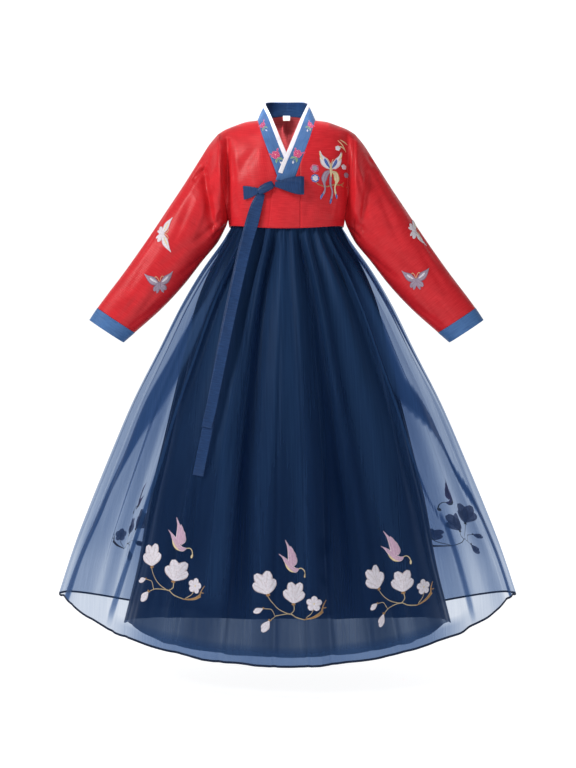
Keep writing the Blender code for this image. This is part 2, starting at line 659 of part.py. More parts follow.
def outward_normals(points, closed=False):
    """Grid normals turned away from the axis of the neck."""
    normals = grid_normals(points, closed)
    lean = (points * np.array((1.0, 1.0, NECK_LEAN)) * normals).sum()
    return normals * np.sign(lean)


def make_collar():
    """Collar band, standing at the back of the neck and lying on the chest in front."""
    points = collar_grid()
    normals = outward_normals(points)
    return add_wall("collar", "collar_satin", points, points - normals * COLLAR_CLOTH)


def make_edging():
    """White strip along the collar's free edge, on its outer face."""
    points = collar_grid()
    normals = outward_normals(points)
    keep = points[:, 0, 2] > EDGING_END_Z
    base = points[keep][:, 2:] + normals[keep][:, 2:] * LAYER
    return add_wall("collar_edging", "edging_cotton", base + normals[keep][:, 2:] * EDGING_CLOTH, base)


def make_label(backs):
    """Blank label inside the back neck, following the inner face of the back panels."""
    trees = surface_finder(backs)
    xs = np.linspace(-LABEL_WIDTH / 2.0, LABEL_WIDTH / 2.0, LABEL_COLUMNS)
    rows = []
    for z in np.linspace(LABEL_TOP_Z, LABEL_TOP_Z - LABEL_HEIGHT, LABEL_ROWS):
        row = []
        for x in xs:
            start = Vector((max(abs(x), SEAM) * (-1.0 if x < 0.0 else 1.0), 0.0, z))
            hits = [tree.ray_cast(start, Vector((0.0, 1.0, 0.0)))[0] for tree in trees]
            row.append((x, min(hit.y for hit in hits if hit is not None), z))
        rows.append(row)
    points = np.array(rows)
    inwards = grid_normals(points, closed=False)
    inwards = inwards * np.sign(-inwards[:, :, 1].sum())
    near = points + inwards * LABEL_GAP
    return add_wall("neck_label", "label_satin", near, near + inwards * LABEL_CLOTH)


# ---------------------------------------------------------------- sleeves and cuffs
def sleeve_fold(turn, along):
    """How far a fold draws the sleeve in at this turn, in degrees, and this share of its length."""
    total = 0.0
    for fold in SLEEVE_FOLDS:
        if fold["start"] < along < fold["end"]:
            run = (along - fold["start"]) / (fold["end"] - fold["start"])
            away = (turn - fold["turn"]) / fold["width"]
            total += fold["depth"] * math.sin(math.pi * run) * math.exp(-away * away)
    return total


def ring_angles():
    """Angles round the sleeve, from the shoulder down the front and up the back."""
    down = ANGLES[::-1]
    return down + [2.0 * math.pi - angle for angle in down[-2:0:-1]]


def sleeve_ring(along):
    """One ring of the wearer's left sleeve with its outward directions."""
    value = {column: smooth_value(SLEEVE["along"], SLEEVE[column], along)
             for column in SLEEVE if column != "along"}
    outer = np.array((value["outer_x"], 0.0, value["outer_z"]))
    inner = np.array((value["inner_x"], 0.0, value["inner_z"]))
    centre, half = (outer + inner) / 2.0, (outer - inner) / 2.0
    reach = np.linalg.norm(half)
    points, normals = [], []
    for angle in ring_angles():
        front = angle <= math.pi
        depth = value["front"] if front else value["back"]
        y = -depth * math.sin(angle)
        y -= math.copysign(SEAM / 2.0, math.sin(angle)) if abs(math.sin(angle)) > 1e-9 else 0.0
        out = half / reach * math.cos(angle) * depth + np.array((0.0, -math.sin(angle) * reach, 0.0))
        out /= np.linalg.norm(out)
        point = centre + half * math.cos(angle) + np.array((0.0, y, 0.0))
        points.append(point - out * sleeve_fold(math.degrees(angle), along))
        normals.append(out)
    return np.array(points), np.array(normals)


def sleeve_run(name, finish, places, shift, mirror):
    """A stretch of the sleeve as a closed tube of cloth."""
    rings, outs = [], []
    for place in places:
        ring, out = sleeve_ring(place)
        rings.append(ring)
        outs.append(out)
    rings, outs = np.array(rings), np.array(outs)
    axis = rings[1].mean(axis=0) - rings[0].mean(axis=0)
    axis /= np.linalg.norm(axis)
    rings[0] += axis * shift
    inner = rings - outs * JACKET_CLOTH
    if mirror:
        rings, inner = mirrored(rings), mirrored(inner)
    return add_wall(name, finish, rings, inner, closed=True)


def make_sleeve(side, mirror):
    """Sleeve from the armhole to the cuff seam, and the contrast cuff below it."""
    places = [0.0, 0.04, 0.08, 0.12, 0.17, 0.22, 0.28, 0.35, 0.44, 0.56, 0.72, CUFF_SEAM - SEAM]
    sleeve_run("sleeve_" + side, "jacket_satin", places, SEAM, mirror)
    cuff_places = [CUFF_SEAM + SEAM, 1.0]
    sleeve_run("cuff_" + side, "collar_satin", cuff_places, 0.0, mirror)


# ---------------------------------------------------------------- skirt
def fold_depth(turn, row, share_low):
    """How far the folds draw the cloth in at a turn, in degrees, on a row of the outline table."""
    total = 0.0
    last_row = ORGANZA_ROWS[-1]
    for values in SKIRT_FOLDS:
        fold = dict(zip(FOLD_COLUMNS, values))
        away = (turn - fold["turn"] + 180.0) % 360.0 - 180.0
        if row < FOLD_MIDDLE_ROW:
            depth = blend(fold["top"], fold["middle"], ease(row / FOLD_MIDDLE_ROW))
        else:
            down = (row - FOLD_MIDDLE_ROW) / (last_row - FOLD_MIDDLE_ROW)
            depth = blend(fold["middle"], fold["hem"], down)
        depth *= blend(1.0, share_low, ease((row - 2.0) / 3.0))
        width = fold["width"] * blend(0.8, 1.15, row / last_row)
        total += depth * math.exp(-(away / width) ** 2)
    return total


def skirt_point(outline, row, turn, share_low, inset=0.0):
    """Point of a skirt layer at a row of its outline table and a turn from the centre front."""
    rows = range(len(outline["side_z"]))
    value = {column: smooth_value(rows, outline[column], row) for column in outline}
    angle = math.radians(turn)
    side, front = math.sin(angle), math.cos(angle)
    end = "front" if front >= 0.0 else "back"
    width, depth = value["half_width"], value[end + "_depth"]
    z = blend(value["side_z"], value[end + "_z"], front * front)
    out = np.array((side / width, -front / depth, 0.0))
    out /= np.linalg.norm(out)
    draw = fold_depth(turn, row, share_low) + inset
    return np.array((value["centre_x"] + width * side, -depth * front, z)) - out * draw


def skirt_turns():
    """Turns of the skirt's columns: each valley, its two shoulders, and the crest after it."""
    turns, crests = [], []
    for i, values in enumerate(SKIRT_FOLDS):
        turn, width = values[0], values[1]
        after = SKIRT_FOLDS[(i + 1) % len(SKIRT_FOLDS)]
        next_turn = after[0] + (360.0 if i + 1 == len(SKIRT_FOLDS) else 0.0)
        crest = ((turn + width * FOLD_SHOULDER) + (next_turn - after[1] * FOLD_SHOULDER)) / 2.0
        turns += [turn - width * FOLD_SHOULDER, turn, turn + width * FOLD_SHOULDER, crest]
        crests.append(crest)
    return turns, crests


def panel_turns(start, end):
    """Turns of one panel's columns, between the crests nearest to where its seams are wanted."""
    turns, crests = skirt_turns()
    turns = turns + [turn + 360.0 for turn in turns]
    crests = crests + [crest + 360.0 for crest in crests]
    low = min(crests, key=lambda crest: abs(crest - start))
    high = min(crests, key=lambda crest: abs(crest - end))
    return [turn for turn in turns if low - 1e-6 <= turn <= high + 1e-6]


def make_skirt_panel(name, finish, outline, rows, span, share_low):
    """One panel of a skirt layer."""
    turns = panel_turns(*span)
    outer = np.array([[skirt_point(outline, row, turn, share_low) for turn in turns] for row in rows])
    inner = np.array([[skirt_point(outline, row, turn, share_low, SKIRT_CLOTH) for turn in turns]
                      for row in rows])
    for points in (outer, inner):
        for column, beside in ((0, 1), (-1, -2)):
            run = points[:, beside] - points[:, column]
            run /= np.linalg.norm(run, axis=1, keepdims=True)
            points[:, column] += run * SEAM / 2.0
    return add_wall(name, finish, outer, inner)


def make_hem_roll():
    """Rolled hem below the organza's lower edge."""
    turns = skirt_turns()[0]
    last = ORGANZA_ROWS[-1]
    proud = (HEM_ROLL - SKIRT_CLOTH) / 2.0
    top = np.array([skirt_point(ORGANZA, last, turn, 1.0, -proud) for turn in turns])
    top_in = np.array([skirt_point(ORGANZA, last, turn, 1.0, SKIRT_CLOTH + proud) for turn in turns])
    drop = np.array((0.0, 0.0, -SEAM))
    fall = np.array((0.0, 0.0, -HEM_ROLL_HEIGHT))
    outer = np.array([top + drop, top + fall])
    inner = np.array([top_in + drop, top_in + fall])
    return add_wall("organza_hem", "ribbon_satin", outer, inner, closed=True)


def make_band():
    """Chest band from which both skirt layers hang."""
    turns = np.arange(-180.0, 180.0, BAND_STEP)
    low_z = ORGANZA["side_z"][0] + SEAM
    rings_out, rings_in = [], []
    for share in (0.0, 1.0):
        scale = blend(1.0, BAND_TOP_SHARE, share)
        ring_out, ring_in = [], []
        for turn in turns:
            angle = math.radians(turn)
            end = "front" if math.cos(angle) >= 0.0 else "back"
            width = ORGANZA["half_width"][0] * scale
            depth = ORGANZA[end + "_depth"][0] * scale
            for ring, inset in ((ring_out, 0.0), (ring_in, BAND_CLOTH)):
                ring.append(((width - inset) * math.sin(angle), -(depth - inset) * math.cos(angle),
                             blend(low_z, BAND_TOP_Z, share)))
        rings_out.append(ring_out)
        rings_in.append(ring_in)
    return add_wall("skirt_band", "ribbon_satin", np.array(rings_out), np.array(rings_in), closed=True)


# ---------------------------------------------------------------- ribbon tie
def surface_finder(items):
    """Search trees of the pieces that the ribbon lies on."""
    trees = []
    for item in items:
        data = item.data
        trees.append(BVHTree.FromPolygons([vertex.co for vertex in data.vertices],
                                          [tuple(face.vertices) for face in data.polygons]))
    return trees


def front_of(trees, x, z):
    """The foremost cloth at x and z, as a y value."""
    best = None
    for tree in trees:
        hit = tree.ray_cast(Vector((x, -1.0, z)), Vector((0.0, 1.0, 0.0)))[0]
        if hit is not None and (best is None or hit.y < best):
            best = hit.y
    return best


def foremost_over(trees, xs, zs, reaches):
    """The foremost cloth behind a run of places, each with its reach up and down, as a y value."""
    found = [front_of(trees, x, z + reach * share)
             for x, z, reach in zip(xs, zs, reaches) for share in (-1.0, -0.5, 0.0, 0.5, 1.0)]
    return min(y for y in found if y is not None)


def push_back(item, distance):
    """Move a finished piece towards the wearer."""
    for corner in item.data.vertices:
        corner.co.y += distance


def seat(item, behind):
    """Move a finished piece back until it lies a layer's gap in front of what is behind it."""
    trees = surface_finder(behind)
    own = surface_finder([item])[0]
    gaps = []
    for other, tree in zip(behind, trees):
        for corner in item.data.vertices:
            gaps.append(tree.ray_cast(corner.co, Vector((0.0, 1.0, 0.0)))[3])
        for corner in other.data.vertices:
            gaps.append(own.ray_cast(corner.co, Vector((0.0, -1.0, 0.0)))[3])
    push_back(item, min(gap for gap in gaps if gap is not None) - LAYER)
    while any(surface_finder([item])[0].overlap(tree) for tree in trees):
        push_back(item, -LAYER)


def lay_ribbon(name, trees, path, steps, lift, columns=4):
    """A hanging ribbon end: its path in the front view, laid on what is behind it."""
    shares = np.linspace(0.0, 1.0, steps)
    places = np.linspace(0.0, 1.0, len(path["x"]))
    centre = np.array([[smooth_value(places, path["x"], s), smooth_value(places, path["z"], s)]
                       for s in shares])
    half = np.array([smooth_value(places, path["half_width"], s) for s in shares])
    run = np.gradient(centre, axis=0)
    run /= np.linalg.norm(run, axis=1, keepdims=True)
    side = np.stack((-run[:, 1], run[:, 0]), axis=1)
    side *= np.sign(side[:, :1])
    across = np.linspace(-1.0, 1.0, columns)
    grid_x = centre[:, :1] + side[:, :1] * half[:, None] * across
    grid_z = centre[:, 1:] + side[:, 1:] * half[:, None] * across
    depth = np.array([[front_of(trees, x, z) for x, z in zip(row_x, row_z)]
                      for row_x, row_z in zip(grid_x, grid_z)], dtype=float)
    foremost = depth.min(axis=1)
    spread = np.array([foremost[max(0, i - 1):i + 2].min() for i in range(steps)])
    y = np.repeat(spread[:, None] - lift, columns, axis=1)
    back = np.stack((grid_x, y, grid_z), axis=2)
    normals = grid_normals(back, closed=False)
    normals = normals * np.sign(-normals[:, :, 1].sum())
    return add_wall(name, "ribbon_satin", back + normals * RIBBON_CLOTH, back)


def make_knot(trees):
    """Wrap of the knot: a short rounded roll that rises towards the wearer's left."""
    steps, columns = len(KNOT["x"]), KNOT_COLUMNS
    base = foremost_over(trees, KNOT["x"], KNOT["z"], KNOT["half_height"])
    behind = base - max(KNOT["half_depth"]) - 2.0 * LAYER
    data = bpy.data.meshes.new("bow_knot")
    mesh = bmesh.new()
    rings = []
    for i in range(steps):
        a, b = max(i - 1, 0), min(i + 1, steps - 1)
        run = np.array((KNOT["x"][b] - KNOT["x"][a], 0.0, KNOT["z"][b] - KNOT["z"][a]))
        run /= np.linalg.norm(run)
        up = np.array((-run[2], 0.0, run[0]))
        centre = np.array((KNOT["x"][i], behind, KNOT["z"][i]))
        ring = []
        for c in range(columns):
            angle = 2.0 * math.pi * c / columns
            ring.append(mesh.verts.new(centre + up * KNOT["half_height"][i] * math.cos(angle)
                                       + np.array((0.0, KNOT["half_depth"][i] * math.sin(angle), 0.0))))
        rings.append(ring)
    for low, high in zip(rings, rings[1:]):
        for c in range(columns):
            d = (c + 1) % columns
            mesh.faces.new((low[c], low[d], high[d], high[c]))
    mesh.faces.new(rings[0][::-1])
    mesh.faces.new(rings[-1])
    bmesh.ops.recalc_face_normals(mesh, faces=mesh.faces)
    mesh.to_mesh(data)
    mesh.free()
    data.shade_smooth()
    data.set_sharp_from_angle(angle=math.radians(KNOT_SHARP_ANGLE))
    data.materials.append(make_material("ribbon_satin"))
    item = bpy.data.objects.new("bow_knot", data)
    bpy.context.scene.collection.objects.link(item)
    return item


def make_loop(trees):
    """Bow loop: the ribbon runs out in front, turns over at the far end and comes back behind."""
    even = np.linspace(0.0, 1.0, LOOP_STEPS)
    shares = [blend(share, ease(share), LOOP_EASE) for share in even]
    deepest = max(LOOP["bulge"])
    xs = [blend(LOOP_START[0], LOOP_END[0], s) for s in shares]
    zs = [blend(LOOP_START[1], LOOP_END[1], s) for s in shares]
    reaches = [smooth_value(LOOP["along"], LOOP["half_width"], s) for s in shares]
    base = foremost_over(trees, xs, zs, reaches)
    middle = base - deepest - RIBBON_CLOTH - 3.0 * LAYER
    across = np.linspace(1.0, -1.0, LOOP_COLUMNS)
    outer, inner = [], []
    path = [(s, -1.0) for s in shares] + [(s, 1.0) for s in reversed(shares[:-1])]
    for s, face in path:
        bulge = smooth_value(LOOP["along"], LOOP["bulge"], s)
        half = smooth_value(LOOP["along"], LOOP["half_width"], s)
        x = blend(LOOP_START[0], LOOP_END[0], s)
        z = blend(LOOP_START[1], LOOP_END[1], s)
        tip = s > 0.999
        out_y = middle if tip else middle + face * (bulge + RIBBON_CLOTH)
        in_y = middle if tip else middle + face * bulge
        out_x = x + RIBBON_CLOTH if tip else x
        outer.append([(out_x, out_y, z + half * up) for up in across])
        inner.append([(x, in_y, z + half * up) for up in across])
    return add_wall("bow_loop", "ribbon_satin", np.array(outer), np.array(inner))


def make_short_end(trees):
    """Short flat end of the bow on the wearer's right."""
    return lay_ribbon("bow_end", trees, SHORT_END, SHORT_END_STEPS, 2.0 * LAYER + RIBBON_CLOTH)


# ---------------------------------------------------------------- the whole garment
def clear_scene():
    """Remove what a new file holds."""
    for item in list(bpy.data.objects):
        bpy.data.objects.remove(item, do_unlink=True)


def main():
    clear_scene()
    fronts = [make_left_front(), make_right_front(), make_gusset()]
    backs = [make_back("jacket_back_left", to_wearers_right=False),
             make_back("jacket_back_right", to_wearers_right=True)]
    collar = make_collar()
    edging = make_edging()
    make_label(backs)
    make_sleeve("left", mirror=False)
    make_sleeve("right", mirror=True)
    skirt = [make_skirt_panel(name, "organza", ORGANZA, ORGANZA_ROWS, span, 1.0)
             for name, span in ORGANZA_PANELS.items()]
    for name, span in LINING_PANELS.items():
        make_skirt_panel(name, "lining", LINING, LINING_ROWS, span, LINING_FOLD_SHARE)
    make_hem_roll()
    make_band()
    chest = fronts + [collar, edging]
    tail_long = lay_ribbon("ribbon_tail_long", surface_finder(chest + skirt), TAIL_LONG,
                           TAIL_LONG_STEPS, TAIL_LIFT)
    tails = [tail_long]
    tails.append(lay_ribbon("ribbon_tail_short", surface_finder(chest + tails + skirt), TAIL_SHORT,
                            TAIL_SHORT_STEPS, 2.0 * LAYER))
    end = make_short_end(surface_finder(fronts + tails))
    seat(end, fronts + tails)
    knot = make_knot(surface_finder(chest))
    seat(knot, chest + tails + [end])
    seat(make_loop(surface_finder(chest)), chest)


main()
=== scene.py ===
# %% [markdown]
# # A Korean hanbok: short wrapped jacket, ribbon tie and a long skirt of sheer organza
#
# The set is three things worn together. The jacket is slubbed red satin with a blue collar and cuffs,
# the ribbon is navy satin, and the skirt is two gathered layers: navy organza that light passes
# through, over a shorter and narrower lining. The solids of the frame fix every size. This script
# dresses each of them in a thin shell of cloth with softer folds, and then embroiders it.

# %% The frame
import math

import bmesh
import bpy
import numpy as np
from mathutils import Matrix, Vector
from mathutils.bvhtree import BVHTree


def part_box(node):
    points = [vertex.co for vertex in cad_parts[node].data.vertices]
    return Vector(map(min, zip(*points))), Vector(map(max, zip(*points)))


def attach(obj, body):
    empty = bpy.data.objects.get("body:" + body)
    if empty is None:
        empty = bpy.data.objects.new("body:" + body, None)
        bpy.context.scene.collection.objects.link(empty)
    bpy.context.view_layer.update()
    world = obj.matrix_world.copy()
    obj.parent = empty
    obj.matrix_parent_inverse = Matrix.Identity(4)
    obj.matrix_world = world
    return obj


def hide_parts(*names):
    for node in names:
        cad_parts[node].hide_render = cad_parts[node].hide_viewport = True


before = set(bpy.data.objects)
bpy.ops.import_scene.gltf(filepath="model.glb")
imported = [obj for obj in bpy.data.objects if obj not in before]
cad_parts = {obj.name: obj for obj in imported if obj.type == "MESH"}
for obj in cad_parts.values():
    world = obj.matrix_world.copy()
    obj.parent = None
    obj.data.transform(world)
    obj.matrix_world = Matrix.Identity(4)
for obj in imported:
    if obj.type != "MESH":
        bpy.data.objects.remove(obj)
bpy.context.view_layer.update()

# %% [markdown]
# ## Sizes
#
# These are the garment's own measures in metres, the same ones as the solids were cut to. The origin
# is midway between the shoulders, the front faces -Y and +X is the wearer's left. A short table with
# named columns describes each outline, and a smooth curve is read between its rows.

# %% Sizes of the jacket
GUSSET_GAP = 0.0004
JACKET_CLOTH = 0.0011
CHEST_HALF_WIDTH = 0.1475
SIDE_HEM_Z = -0.2695
HEM_CENTRE_Z = {"front": -0.2850, "back": -0.2780}
CHEST_DEPTH = {"front": 0.1170, "back": 0.1030}
SHOULDER_ROUNDING = {"front": 3.0, "back": 7.0}
HEM_TUCK, TUCK_LEVEL = 0.05, 0.3
RIDGE_CENTRE_Z = {"front": 0.0300, "back": 0.0550}
RIDGE_ARCH = {"front": 1.0, "back": 2.0}
RIDGE = {"x": (0.0745, 0.1002, 0.131, 0.1568, 0.176),
         "z": (0.003, 0.0, -0.0099, -0.0202, -0.032)}
NECK_SIDE = (0.0745, 0.0030)
SHOULDER_POINT = (0.1760, -0.0320)
ARMPIT = (0.1500, -0.2515)
ARMHOLE_DEPTH = {"front": 0.0580, "back": 0.0520}
NECKLINE = {"z": (-0.175, -0.15, -0.0885, -0.046, 0.003),
            "x": (0.016, 0.0246, 0.0466, 0.0612, 0.0745)}
UNDER_EDGE = {"z": (-0.285, -0.175),
              "x": (-0.008, 0.016)}
GUSSET_SEAM_X = 0.0345
GUSSET_HEM_X = -0.0460
GUSSET_TOP_LEFT = (-0.0340, -0.1775)
UNDER_STEP = 0.0036
UNDER_RAMP = (0.0700, 0.0450)
BACK_NECK_DEPTH = 0.0700
COLLAR_BACK = {"seam_x": (0.0, 0.03, 0.052, 0.068, 0.0745),
               "edge_x": (0.0, 0.027, 0.044, 0.053, 0.0545),
               "edge_y": (0.062, 0.054, 0.037, 0.016, 0.0),
               "edge_z": (0.063, 0.0618, 0.058, 0.052, 0.0465)}
COLLAR_FRONT = {"seam_z": (0.003, -0.021, -0.046, -0.0885, -0.15, -0.1745),
                "edge_x": (0.0545, 0.0385, 0.025, 0.0078, -0.0168, -0.027),
                "edge_y": (0.0, -0.033, -0.06, -0.089, -0.1122, -0.115),
                "edge_z": (0.0465, 0.008, -0.028, -0.074, -0.1355, -0.166)}
COLLAR_END_Z = -0.1745
COLLAR_SUNK = 0.25
EDGING_WIDTH = 0.0110
EDGING_END_Z = -0.1600
SLEEVE = {"along": (0.0, 0.06, 0.14, 0.27, 0.42, 0.56, 0.72, 0.93, 1.0),
          "outer_x": (0.176, 0.1985, 0.2222, 0.2625, 0.3115, 0.3545, 0.4145, 0.4855, 0.506),
          "outer_z": (-0.032, -0.059, -0.096, -0.16, -0.2335, -0.298, -0.383, -0.4777, -0.5085),
          "inner_x": (0.15, 0.153, 0.16, 0.1755, 0.215, 0.2625, 0.319, 0.39, 0.419),
          "inner_z": (-0.2515, -0.262, -0.278, -0.307, -0.3555, -0.4168, -0.4777, -0.541, -0.566),
          "front": (0.058, 0.054, 0.056, 0.058, 0.056, 0.053, 0.048, 0.039, 0.037),
          "back": (0.052, 0.05, 0.052, 0.056, 0.056, 0.053, 0.048, 0.039, 0.037)}
CUFF_SEAM = 0.930

# %% Sizes of the skirt
ORGANZA = {"side_z": (-0.25, -0.2695, -0.29, -0.313, -0.375, -0.467, -0.591, -0.714, -0.837, -0.961,
                      -1.084, -1.208),
           "centre_x": (0.0, 0.0, 0.0, 0.0, 0.0, 0.0, 0.0, 0.0005, 0.001, 0.0015, 0.002, 0.0025),
           "half_width": (0.1405, 0.144, 0.157, 0.1735, 0.2195, 0.2755, 0.337, 0.398, 0.4505,
                          0.5015, 0.549, 0.59),
           "front_z": (-0.25, -0.285, -0.31, -0.338, -0.405, -0.505, -0.64, -0.772, -0.903, -1.04,
                       -1.18, -1.325),
           "front_depth": (0.103, 0.1062, 0.118, 0.132, 0.16, 0.193, 0.23, 0.26, 0.285, 0.302,
                           0.318, 0.33),
           "back_z": (-0.25, -0.278, -0.302, -0.328, -0.395, -0.492, -0.622, -0.752, -0.882, -1.015,
                      -1.155, -1.313),
           "back_depth": (0.093, 0.0962, 0.108, 0.122, 0.15, 0.182, 0.218, 0.246, 0.269, 0.285,
                          0.299, 0.31)}
LINING = {**ORGANZA,
          "side_z": ORGANZA["side_z"][:9] + (-0.971, -1.125, -1.285),
          "front_z": ORGANZA["front_z"][:10] + (-1.19, -1.32),
          "back_z": ORGANZA["back_z"][:9] + (-1.02, -1.17, -1.318),
          "half_width": (0.1386, 0.1418, 0.153, 0.1655, 0.2, 0.238, 0.268, 0.297, 0.326, 0.3585,
                         0.385, 0.424),
          "front_depth": (0.1012, 0.1042, 0.1135, 0.125, 0.148, 0.174, 0.198, 0.215, 0.229, 0.24,
                          0.249, 0.258),
          "back_depth": (0.0912, 0.0942, 0.1035, 0.115, 0.138, 0.164, 0.188, 0.204, 0.218, 0.23,
                         0.242, 0.252)}
LAST_ROW = 11.0
BAND_TOP_Z = -0.1750
BAND_TOP_SHARE = 0.985
HEM_ROLL_HEIGHT = 0.0050
HEM_ROLL = 0.0016
# turn and width in degrees, depth at the top, in the middle and at the hem, drift in degrees, and lean
SKIRT_FOLDS = ((-174, 5.0, 0.003, 0.011, 0.013, 0.0, 0.8),
               (-160, 4.5, 0.004, 0.014, 0.018, -1.0, -1.3),
               (-147, 5.5, 0.003, 0.009, 0.01, 1.0, 0.6),
               (-134, 4.6, 0.004, 0.013, 0.017, -1.0, 1.4),
               (-122, 5.0, 0.003, 0.01, 0.009, 1.5, -0.7),
               (-109, 5.2, 0.0035, 0.014, 0.019, 0.0, -1.5),
               (-96, 4.8, 0.003, 0.01, 0.012, 1.0, 0.9),
               (-82.5, 4.6, 0.0035, 0.011, 0.013, -1.0, -1.0),
               (-67, 4.2, 0.004, 0.012, 0.015, -5.0, -0.9),
               (-51, 5.0, 0.0035, 0.011, 0.014, -1.5, 0.7),
               (-37, 4.6, 0.004, 0.014, 0.01, -1.0, -0.8),
               (-25, 4.2, 0.0045, 0.015, 0.012, -0.6, 0.6),
               (-11, 4.0, 0.0045, 0.018, 0.015, 0.4, -0.7),
               (2, 3.4, 0.0025, 0.005, 0.006, 0.0, 0.3), (13, 4.2, 0.0045, 0.017, 0.014, 0.5, 0.7),
               (26, 4.6, 0.0035, 0.012, 0.008, 1.0, -0.6), (38, 4.4, 0.004, 0.014, 0.012, 1.0, 0.8),
               (50, 4.8, 0.0035, 0.011, 0.013, 1.5, -0.7),
               (61.5, 4.2, 0.004, 0.012, 0.015, 4.0, 0.9),
               (72.5, 4.4, 0.003, 0.01, 0.012, 3.0, 0.9),
               (83.5, 4.4, 0.0035, 0.011, 0.012, 1.0, 1.0),
               (97, 5.2, 0.003, 0.013, 0.018, 0.0, -1.4), (113, 4.8, 0.004, 0.01, 0.01, -1.0, 0.7),
               (128.5, 4.4, 0.003, 0.014, 0.017, 1.0, 1.4),
               (144, 5.2, 0.004, 0.01, 0.012, 0.0, -0.7),
               (157, 4.6, 0.003, 0.013, 0.017, -1.0, 1.3),
               (171, 5.0, 0.0035, 0.01, 0.009, 0.0, -0.6))
FOLD_DEEPER = 1.6              # the dressed folds against those of the solids
HEM_DEEPER = 0.30              # the share of that which is left at the hem
LINING_FOLD_SHARE = 0.80
FOLD_MIDDLE_ROW = 4.0
ORGANZA_SEAMS = {"organza_front": (-102.4, 105.0), "organza_back_left": (105.0, 178.7),
                 "organza_back_right": (178.7, 257.6)}
LINING_SEAMS = {"lining_front": (-89.2, 89.8), "lining_back": (89.8, 270.8)}

# %% Sizes of the ribbon
KNOT = {"x": (-0.07, -0.0605, -0.049, -0.0385, -0.0328),
        "z": (-0.196, -0.19, -0.1835, -0.178, -0.1745),
        "half_height": (0.007, 0.0105, 0.011, 0.01, 0.0075),
        "half_depth": (0.004, 0.007, 0.0085, 0.007, 0.004)}
LOOP = {"along": (0.0, 0.2, 0.45, 0.72, 0.92, 1.0),
        "half_width": (0.0062, 0.01, 0.016, 0.0208, 0.0222, 0.0222),
        "bulge": (0.0024, 0.0046, 0.007, 0.0072, 0.0052, 0.0008)}
LOOP_START = (-0.0284, -0.1775)
LOOP_END = (0.0440, -0.1805)
SHORT_END = {"x": (-0.07, -0.079, -0.09, -0.1, -0.108),
             "z": (-0.1915, -0.1925, -0.1935, -0.194, -0.1945),
             "half_width": (0.006, 0.01, 0.014, 0.0165, 0.0172)}
TAIL_LONG = {"x": (-0.064, -0.076, -0.09, -0.108, -0.125, -0.145, -0.17, -0.188, -0.212),
             "z": (-0.1985, -0.23, -0.28, -0.35, -0.43, -0.53, -0.67, -0.77, -0.893),
             "half_width": (0.008, 0.0135, 0.0155, 0.0145, 0.0135, 0.0132, 0.0132, 0.013, 0.0128)}
TAIL_SHORT = {"x": (-0.061, -0.073, -0.087, -0.1045, -0.1215, -0.1415, -0.166, -0.181, -0.192),
              "z": (-0.1985, -0.23, -0.28, -0.35, -0.43, -0.53, -0.655, -0.73, -0.778),
              "half_width": (0.008, 0.013, 0.015, 0.0142, 0.0133, 0.013, 0.013, 0.0128, 0.0126)}

# %% [markdown]
# ## Reading the tables
#
# Blender has no spline through a table, so a few lines of numpy read one. The slope at each row is
# the harmonic mean of its neighbours' slopes, which keeps a hem or a sleeve edge from overshooting.

# %% Curves between table rows
def curve(places, values, at):
    """Values of a table at any places, along a smooth line that never overshoots."""
    places, values = np.asarray(places, float), np.asarray(values, float)
    if places[0] > places[-1]:
        places, values = places[::-1], values[::-1]
    gaps = np.diff(places)
    slopes = np.diff(values) / gaps
    same = slopes[:-1] * slopes[1:] > 0.0
    total = np.where(same, slopes[:-1] + slopes[1:], 1.0)
    inner = np.where(same, 2.0 * slopes[:-1] * slopes[1:] / total, 0.0)
    tangents = np.concatenate((slopes[:1], inner, slopes[-1:]))
    at = np.clip(np.asarray(at, float), places[0], places[-1])
    i = np.clip(np.searchsorted(places, at, side="right") - 1, 0, len(gaps) - 1)
    s = (at - places[i]) / gaps[i]
    rise, start, end = values[i + 1] - values[i], tangents[i] * gaps[i], tangents[i + 1] * gaps[i]
    return (values[i] + s * start + s * s * (3.0 * rise - 2.0 * start - end)
            + s ** 3 * (start + end - 2.0 * rise))


def blend(a, b, share):
    """A value between a and b."""
    return a + (b - a) * share


def ease(share):
    """Run smoothly from 0 to 1."""
    share = np.clip(share, 0.0, 1.0)
    return share * share * (3.0 - 2.0 * share)


def bump(away, width, power=2):
    """A soft trough or ridge of height 1, this wide, with a flatter top at a higher even power."""
    return np.exp(-(away / width) ** power)


def reach_of(line):
    """How far each point of a line is from its start, along it."""
    return np.concatenate(([0.0], np.cumsum(np.linalg.norm(np.diff(line, axis=0), axis=1))))


def mirrored(points):
    """The same points on the wearer's other side."""
    return points * np.array((-1.0, 1.0, 1.0))


BACKWARD = np.array((0.0, 1.0, 0.0))


halfway = curve(SLEEVE["along"], SLEEVE["outer_x"], 0.5)
print("halfway down the sleeve its outer edge is at x", round(float(halfway), 4))

# %% [markdown]
# ## Colours and the node helper
#
# Colours are picked as sRGB hex, the way a dye chart gives them, but shaders add light in linear
# values, so one function converts them. One more function adds a node with its settings and links,
# which keeps each material a short list of what is done to the cloth.

# %% Colour and node helpers
def linear(code):
    """Linear red, green, blue and 1 from an sRGB hex colour."""
    parts = [int(code[i:i + 2], 16) / 255.0 for i in (1, 3, 5)]
    return tuple(p / 12.92 if p <= 0.04045 else ((p + 0.055) / 1.055) ** 2.4 for p in parts) + (1.0,)


def add(tree, kind, inputs=None, **settings):
    """A new shader node. Each input is a value, a socket, or a node for its first output."""
    node = tree.nodes.new("ShaderNode" + kind)
    for key, value in settings.items():
        setattr(node, key, value)
    for key, value in (inputs or {}).items():
        if isinstance(value, bpy.types.Node):
            value = value.outputs[0]
        if isinstance(value, bpy.types.NodeSocket):
            tree.links.new(value, node.inputs[key])
        else:
            node.inputs[key].default_value = value
    return node


